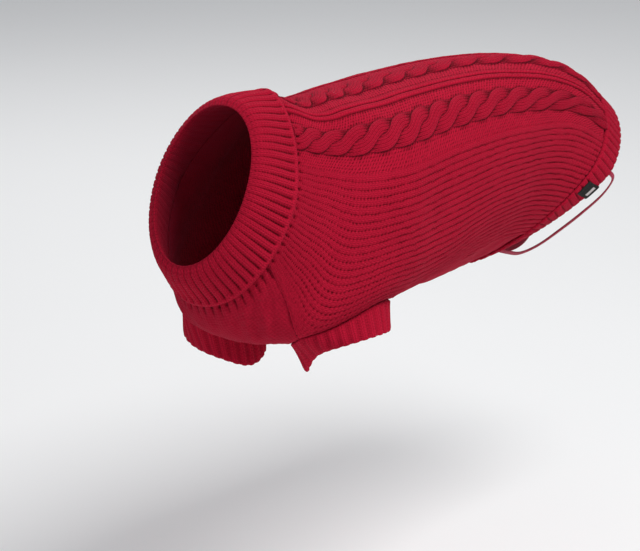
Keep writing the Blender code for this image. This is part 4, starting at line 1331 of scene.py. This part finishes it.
def label_material(name, context):
    """Black satin weave with a plain pale bar."""
    colours = context.scene.sweater_colours
    look = Shading(name)
    place = look.node("ShaderNodeSeparateXYZ", {"Vector": look.attribute("knit").outputs["Vector"]})
    along, down = place.outputs["X"], place.outputs["Y"]
    threads = look.math("SINE", look.math("MULTIPLY", down, 2 * math.pi / LABEL_THREAD))
    warp = look.math("SINE", look.math("MULTIPLY", along, 2 * math.pi / LABEL_WARP))
    weave = look.math("MULTIPLY_ADD", look.math("MULTIPLY", threads, warp), 0.5, 0.5)
    ragged = look.math("MULTIPLY", look.math("SUBTRACT", look.noise(RAGGED_SCALE, 1.0), 0.5), 0.5)
    half_long, half_wide = LABEL_BAR_HALF
    off_end = look.math("ADD", look.math("ABSOLUTE", along), ragged)
    in_length = look.math("LESS_THAN", off_end, half_long)
    off_middle = look.math("ABSOLUTE", look.math("SUBTRACT", down, LABEL_BAR_DOWN))
    in_width = look.math("LESS_THAN", look.math("ADD", off_middle, ragged), half_wide)
    bar = look.math("MULTIPLY", in_length, in_width)
    # painted shade and light: the weave's low parts are painted darker and its raised threads lighter
    black = look.mix(weave, tuple(0.55 * c for c in colours.label), tuple(1.6 * c for c in colours.label))
    pale = look.mix(weave, tuple(0.75 * c for c in colours.label_bar), tuple(colours.label_bar))
    tint = look.mix(bar, black, pale)
    return look.finish(tint, look.bump(weave, 0.00012, 0.8), 0.6, Specular_IOR_Level=0.15)


def elastic_material(name, context):
    """Flat knitted elastic: ribs along it, short slanting threads on them."""
    colours = context.scene.sweater_colours
    look = Shading(name)
    place = look.node("ShaderNodeSeparateXYZ", {"Vector": look.attribute("knit").outputs["Vector"]})
    across, along = place.outputs["X"], place.outputs["Y"]
    ribs = look.math("COSINE", look.math("MULTIPLY", across, 2 * math.pi / ELASTIC_RIB))
    zigzag = look.math("MULTIPLY_ADD", look.math("PINGPONG", across, ELASTIC_RIB / 2), 0.9, along)
    threads = look.math("COSINE", look.math("MULTIPLY", zigzag, 2 * math.pi / ELASTIC_THREAD))
    both = look.math("ADD", look.math("MULTIPLY", ribs, 0.25), look.math("MULTIPLY", threads, 0.25))
    height = look.math("ADD", both, 0.5)
    base = tuple(colours.elastic)
    # painted shade and light: darker between the ribs and threads, lighter on their tops
    tint = look.mix(height, tuple(0.45 * c for c in base), tuple(1.25 * c for c in base))
    return look.finish(tint, look.bump(height, 0.0002, 0.9), 0.7, Specular_IOR_Level=0.3,
                       Sheen_Weight=0.25, Sheen_Tint=(*colours.sheen, 1.0))


def floor_material(context):
    """Smooth pale floor with a faint mottle."""
    pale = tuple(context.scene.sweater_studio.floor_colour)
    look = Shading("studio_floor")
    cloudy = look.noise(FLOOR_CLOUD_SCALE, 3.0)
    tint = look.mix(cloudy, tuple(0.97 * c for c in pale), pale)
    normal = look.bump(look.noise(FLOOR_GRAIN_SCALE, 2.0), 0.0005, 0.1)
    return look.finish(tint, normal, 0.75, Specular_IOR_Level=0.2)


# ---------------------------------------------------------------------------------------------
# Operators
# ---------------------------------------------------------------------------------------------

def dress(piece, nodes):
    """Hang a cloth piece on the root body and hide the solids it stands in for."""
    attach(piece, "root")
    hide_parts(*nodes)


class SWEATER_OT_flanks(bpy.types.Operator):
    """Knit the two ribbed flanks of the back panel"""

    bl_idname = "sweater.flanks"
    bl_label = "Flanks"
    bl_options = {"REGISTER", "UNDO"}

    def execute(self, context):
        sizes = Millimetres(context)
        for name, side in (("back_flank_left", 1), ("back_flank_right", -1)):
            piece = flank(name, side, sizes, yarn_material(name + "_knit", context))
            dress(piece, ["back_panel"])
        return {"FINISHED"}


class SWEATER_OT_cables(bpy.types.Operator):
    """Knit the cables, their purl ground and the ridge along the back"""

    bl_idname = "sweater.cables"
    bl_label = "Cables"
    bl_options = {"REGISTER", "UNDO"}

    def execute(self, context):
        piece = back_cables("back_cables", Millimetres(context), yarn_material("cable_knit", context))
        dress(piece, ["back_panel"])
        return {"FINISHED"}


class SWEATER_OT_front(bpy.types.Operator):
    """Knit the plain chest and belly panel"""

    bl_idname = "sweater.front"
    bl_label = "Front panel"
    bl_options = {"REGISTER", "UNDO"}

    def execute(self, context):
        piece = front("front_plain", Millimetres(context), yarn_material("front_knit", context))
        dress(piece, ["front_panel"])
        return {"FINISHED"}


class SWEATER_OT_collar(bpy.types.Operator):
    """Knit the doubled rib collar"""

    bl_idname = "sweater.collar"
    bl_label = "Collar"
    bl_options = {"REGISTER", "UNDO"}

    def execute(self, context):
        piece = collar("collar_rib", Millimetres(context), yarn_material("collar_knit", context))
        dress(piece, ["collar"])
        return {"FINISHED"}


class SWEATER_OT_cuffs(bpy.types.Operator):
    """Knit the two rib cuffs round the front legs"""

    bl_idname = "sweater.cuffs"
    bl_label = "Cuffs"
    bl_options = {"REGISTER", "UNDO"}

    def execute(self, context):
        sizes = Millimetres(context)
        for row in CUFFS:
            piece = cuff_band(dict(zip(CUFF_COLUMNS, row)), sizes, yarn_material(row[0] + "_knit", context))
            dress(piece, [row[0]])
        return {"FINISHED"}


class SWEATER_OT_hems(bpy.types.Operator):
    """Knit the rib bands along the rear edge"""

    bl_idname = "sweater.hems"
    bl_label = "Rear bands"
    bl_options = {"REGISTER", "UNDO"}

    def execute(self, context):
        sizes = Millimetres(context)
        for name, edges, flat in (("hem_back", back_edges, (0.025, 0.45)),
                                  ("hem_belly", front_edges, (0.022, 0.18))):
            piece = hem(name + "_rib", edges, sizes, yarn_material(name + "_knit", context))
            dress(piece, [name])
        return {"FINISHED"}


class SWEATER_OT_label(bpy.types.Operator):
    """Sew the woven label over the rear band's edge"""

    bl_idname = "sweater.label"
    bl_label = "Label"
    bl_options = {"REGISTER", "UNDO"}

    def execute(self, context):
        piece = label("label_woven", Millimetres(context), label_material("label_satin", context))
        dress(piece, ["label"])
        return {"FINISHED"}


class SWEATER_OT_leg_loops(bpy.types.Operator):
    """Sew the elastic loops for the hind legs"""

    bl_idname = "sweater.leg_loops"
    bl_label = "Leg loops"
    bl_options = {"REGISTER", "UNDO"}

    def execute(self, context):
        sizes = Millimetres(context)
        for name, side in (("leg_loop_left", 1), ("leg_loop_right", -1)):
            piece = leg_loop(name + "_elastic", side, sizes, elastic_material(name + "_knit", context))
            dress(piece, [name])
        return {"FINISHED"}


FLOOR_SIZE = 30.0
SKY = (0.93, 0.95, 1.0, 1.0)
LIT_PLACE = (0.12, 0.0, -0.10)
LIGHTS = (
    # name, side of the square and place, in metres
    ("key", 1.1, (0.15, -1.25, 1.85)),
    ("fill", 1.6, (-1.9, -1.0, 0.5)),
    ("back", 1.0, (1.3, 1.5, 1.3)),
)
SENSOR_WIDTH = 36.0
LENS_PIXELS = 2800.0       # the lens in pixels of the picture it was set up for
ORIGIN_LEFT = 20.0         # pixels from the picture's middle to the origin
ORIGIN_ABOVE = 170.5


class SWEATER_OT_studio(bpy.types.Operator):
    """Set up the floor, the lights and the camera"""

    bl_idname = "sweater.studio"
    bl_label = "Studio"
    bl_options = {"REGISTER", "UNDO"}

    def execute(self, context):
        studio = context.scene.sweater_studio
        bpy.ops.mesh.primitive_plane_add(size=FLOOR_SIZE, location=(0.0, 0.0, studio.floor_level))
        floor = context.active_object
        floor.name = "floor"
        floor.data.materials.append(floor_material(context))
        for name, size, place in LIGHTS:
            add_light(context, name, getattr(studio, name + "_power"), size, Vector(place))
        world = bpy.data.worlds.new("studio_sky")
        world.use_nodes = True
        sky = world.node_tree.nodes["Background"]
        sky.inputs["Color"].default_value = SKY
        sky.inputs["Strength"].default_value = studio.sky
        context.scene.world = world
        context.scene.view_settings.view_transform = "Standard"
        add_camera(context, studio)
        return {"FINISHED"}


def add_light(context, name, power, size, place):
    """A soft square light that faces the sweater."""
    lamp = bpy.data.lights.new(name, "AREA")
    lamp.energy = power
    lamp.size = size
    light = bpy.data.objects.new(name, lamp)
    light.location = place
    light.rotation_euler = (Vector(LIT_PLACE) - place).to_track_quat("-Z", "Y").to_euler()
    context.scene.collection.objects.link(light)


def add_camera(context, studio):
    """The camera, with the origin left of its middle and well above it."""
    lens = bpy.data.cameras.new("camera")
    lens.lens = studio.lens
    lens.sensor_width = SENSOR_WIDTH
    lens.sensor_fit = "HORIZONTAL"
    camera = bpy.data.objects.new("camera", lens)
    turn, rise = studio.azimuth, studio.elevation
    back = Vector((math.cos(turn) * math.cos(rise), math.sin(turn) * math.cos(rise), math.sin(rise)))
    right = Vector((0.0, 0.0, 1.0)).cross(back).normalized()
    above = back.cross(right)
    origin_left = ORIGIN_LEFT / LENS_PIXELS * studio.distance
    origin_above = ORIGIN_ABOVE / LENS_PIXELS * studio.distance
    camera.matrix_world = Matrix((
        (right.x, above.x, back.x, 0.0),
        (right.y, above.y, back.y, 0.0),
        (right.z, above.z, back.z, 0.0),
        (0.0, 0.0, 0.0, 1.0)))
    camera.location = back * studio.distance + right * origin_left - above * origin_above
    context.scene.collection.objects.link(camera)
    context.scene.camera = camera


class SWEATER_PT_panel(bpy.types.Panel):
    """Lists what can be made"""

    bl_idname = "SWEATER_PT_panel"
    bl_label = "Dog sweater"
    bl_space_type = "VIEW_3D"
    bl_region_type = "UI"
    bl_category = "Sweater"

    def draw(self, context):
        scene = context.scene
        for group in (scene.sweater_sizes, scene.sweater_colours, scene.sweater_studio):
            box = self.layout.box()
            for key in group.__annotations__:
                box.prop(group, key)
        for operator in OPERATORS:
            self.layout.operator(operator.bl_idname)


GROUPS = (SweaterSizes, SweaterColours, SweaterStudio)
OPERATORS = (SWEATER_OT_flanks, SWEATER_OT_cables, SWEATER_OT_front, SWEATER_OT_collar,
             SWEATER_OT_cuffs, SWEATER_OT_hems, SWEATER_OT_label, SWEATER_OT_leg_loops,
             SWEATER_OT_studio)
CLASSES = (*GROUPS, *OPERATORS, SWEATER_PT_panel)


def register():
    for made in CLASSES:
        bpy.utils.register_class(made)
    bpy.types.Scene.sweater_sizes = bpy.props.PointerProperty(type=SweaterSizes)
    bpy.types.Scene.sweater_colours = bpy.props.PointerProperty(type=SweaterColours)
    bpy.types.Scene.sweater_studio = bpy.props.PointerProperty(type=SweaterStudio)


def unregister():
    del bpy.types.Scene.sweater_sizes
    del bpy.types.Scene.sweater_colours
    del bpy.types.Scene.sweater_studio
    for made in reversed(CLASSES):
        bpy.utils.unregister_class(made)


def main():
    register()
    bpy.ops.sweater.studio()
    bpy.ops.sweater.flanks()
    bpy.ops.sweater.cables()
    bpy.ops.sweater.front()
    bpy.ops.sweater.collar()
    bpy.ops.sweater.cuffs()
    bpy.ops.sweater.hems()
    bpy.ops.sweater.label()
    bpy.ops.sweater.leg_loops()


if __name__ == "__main__":
    main()
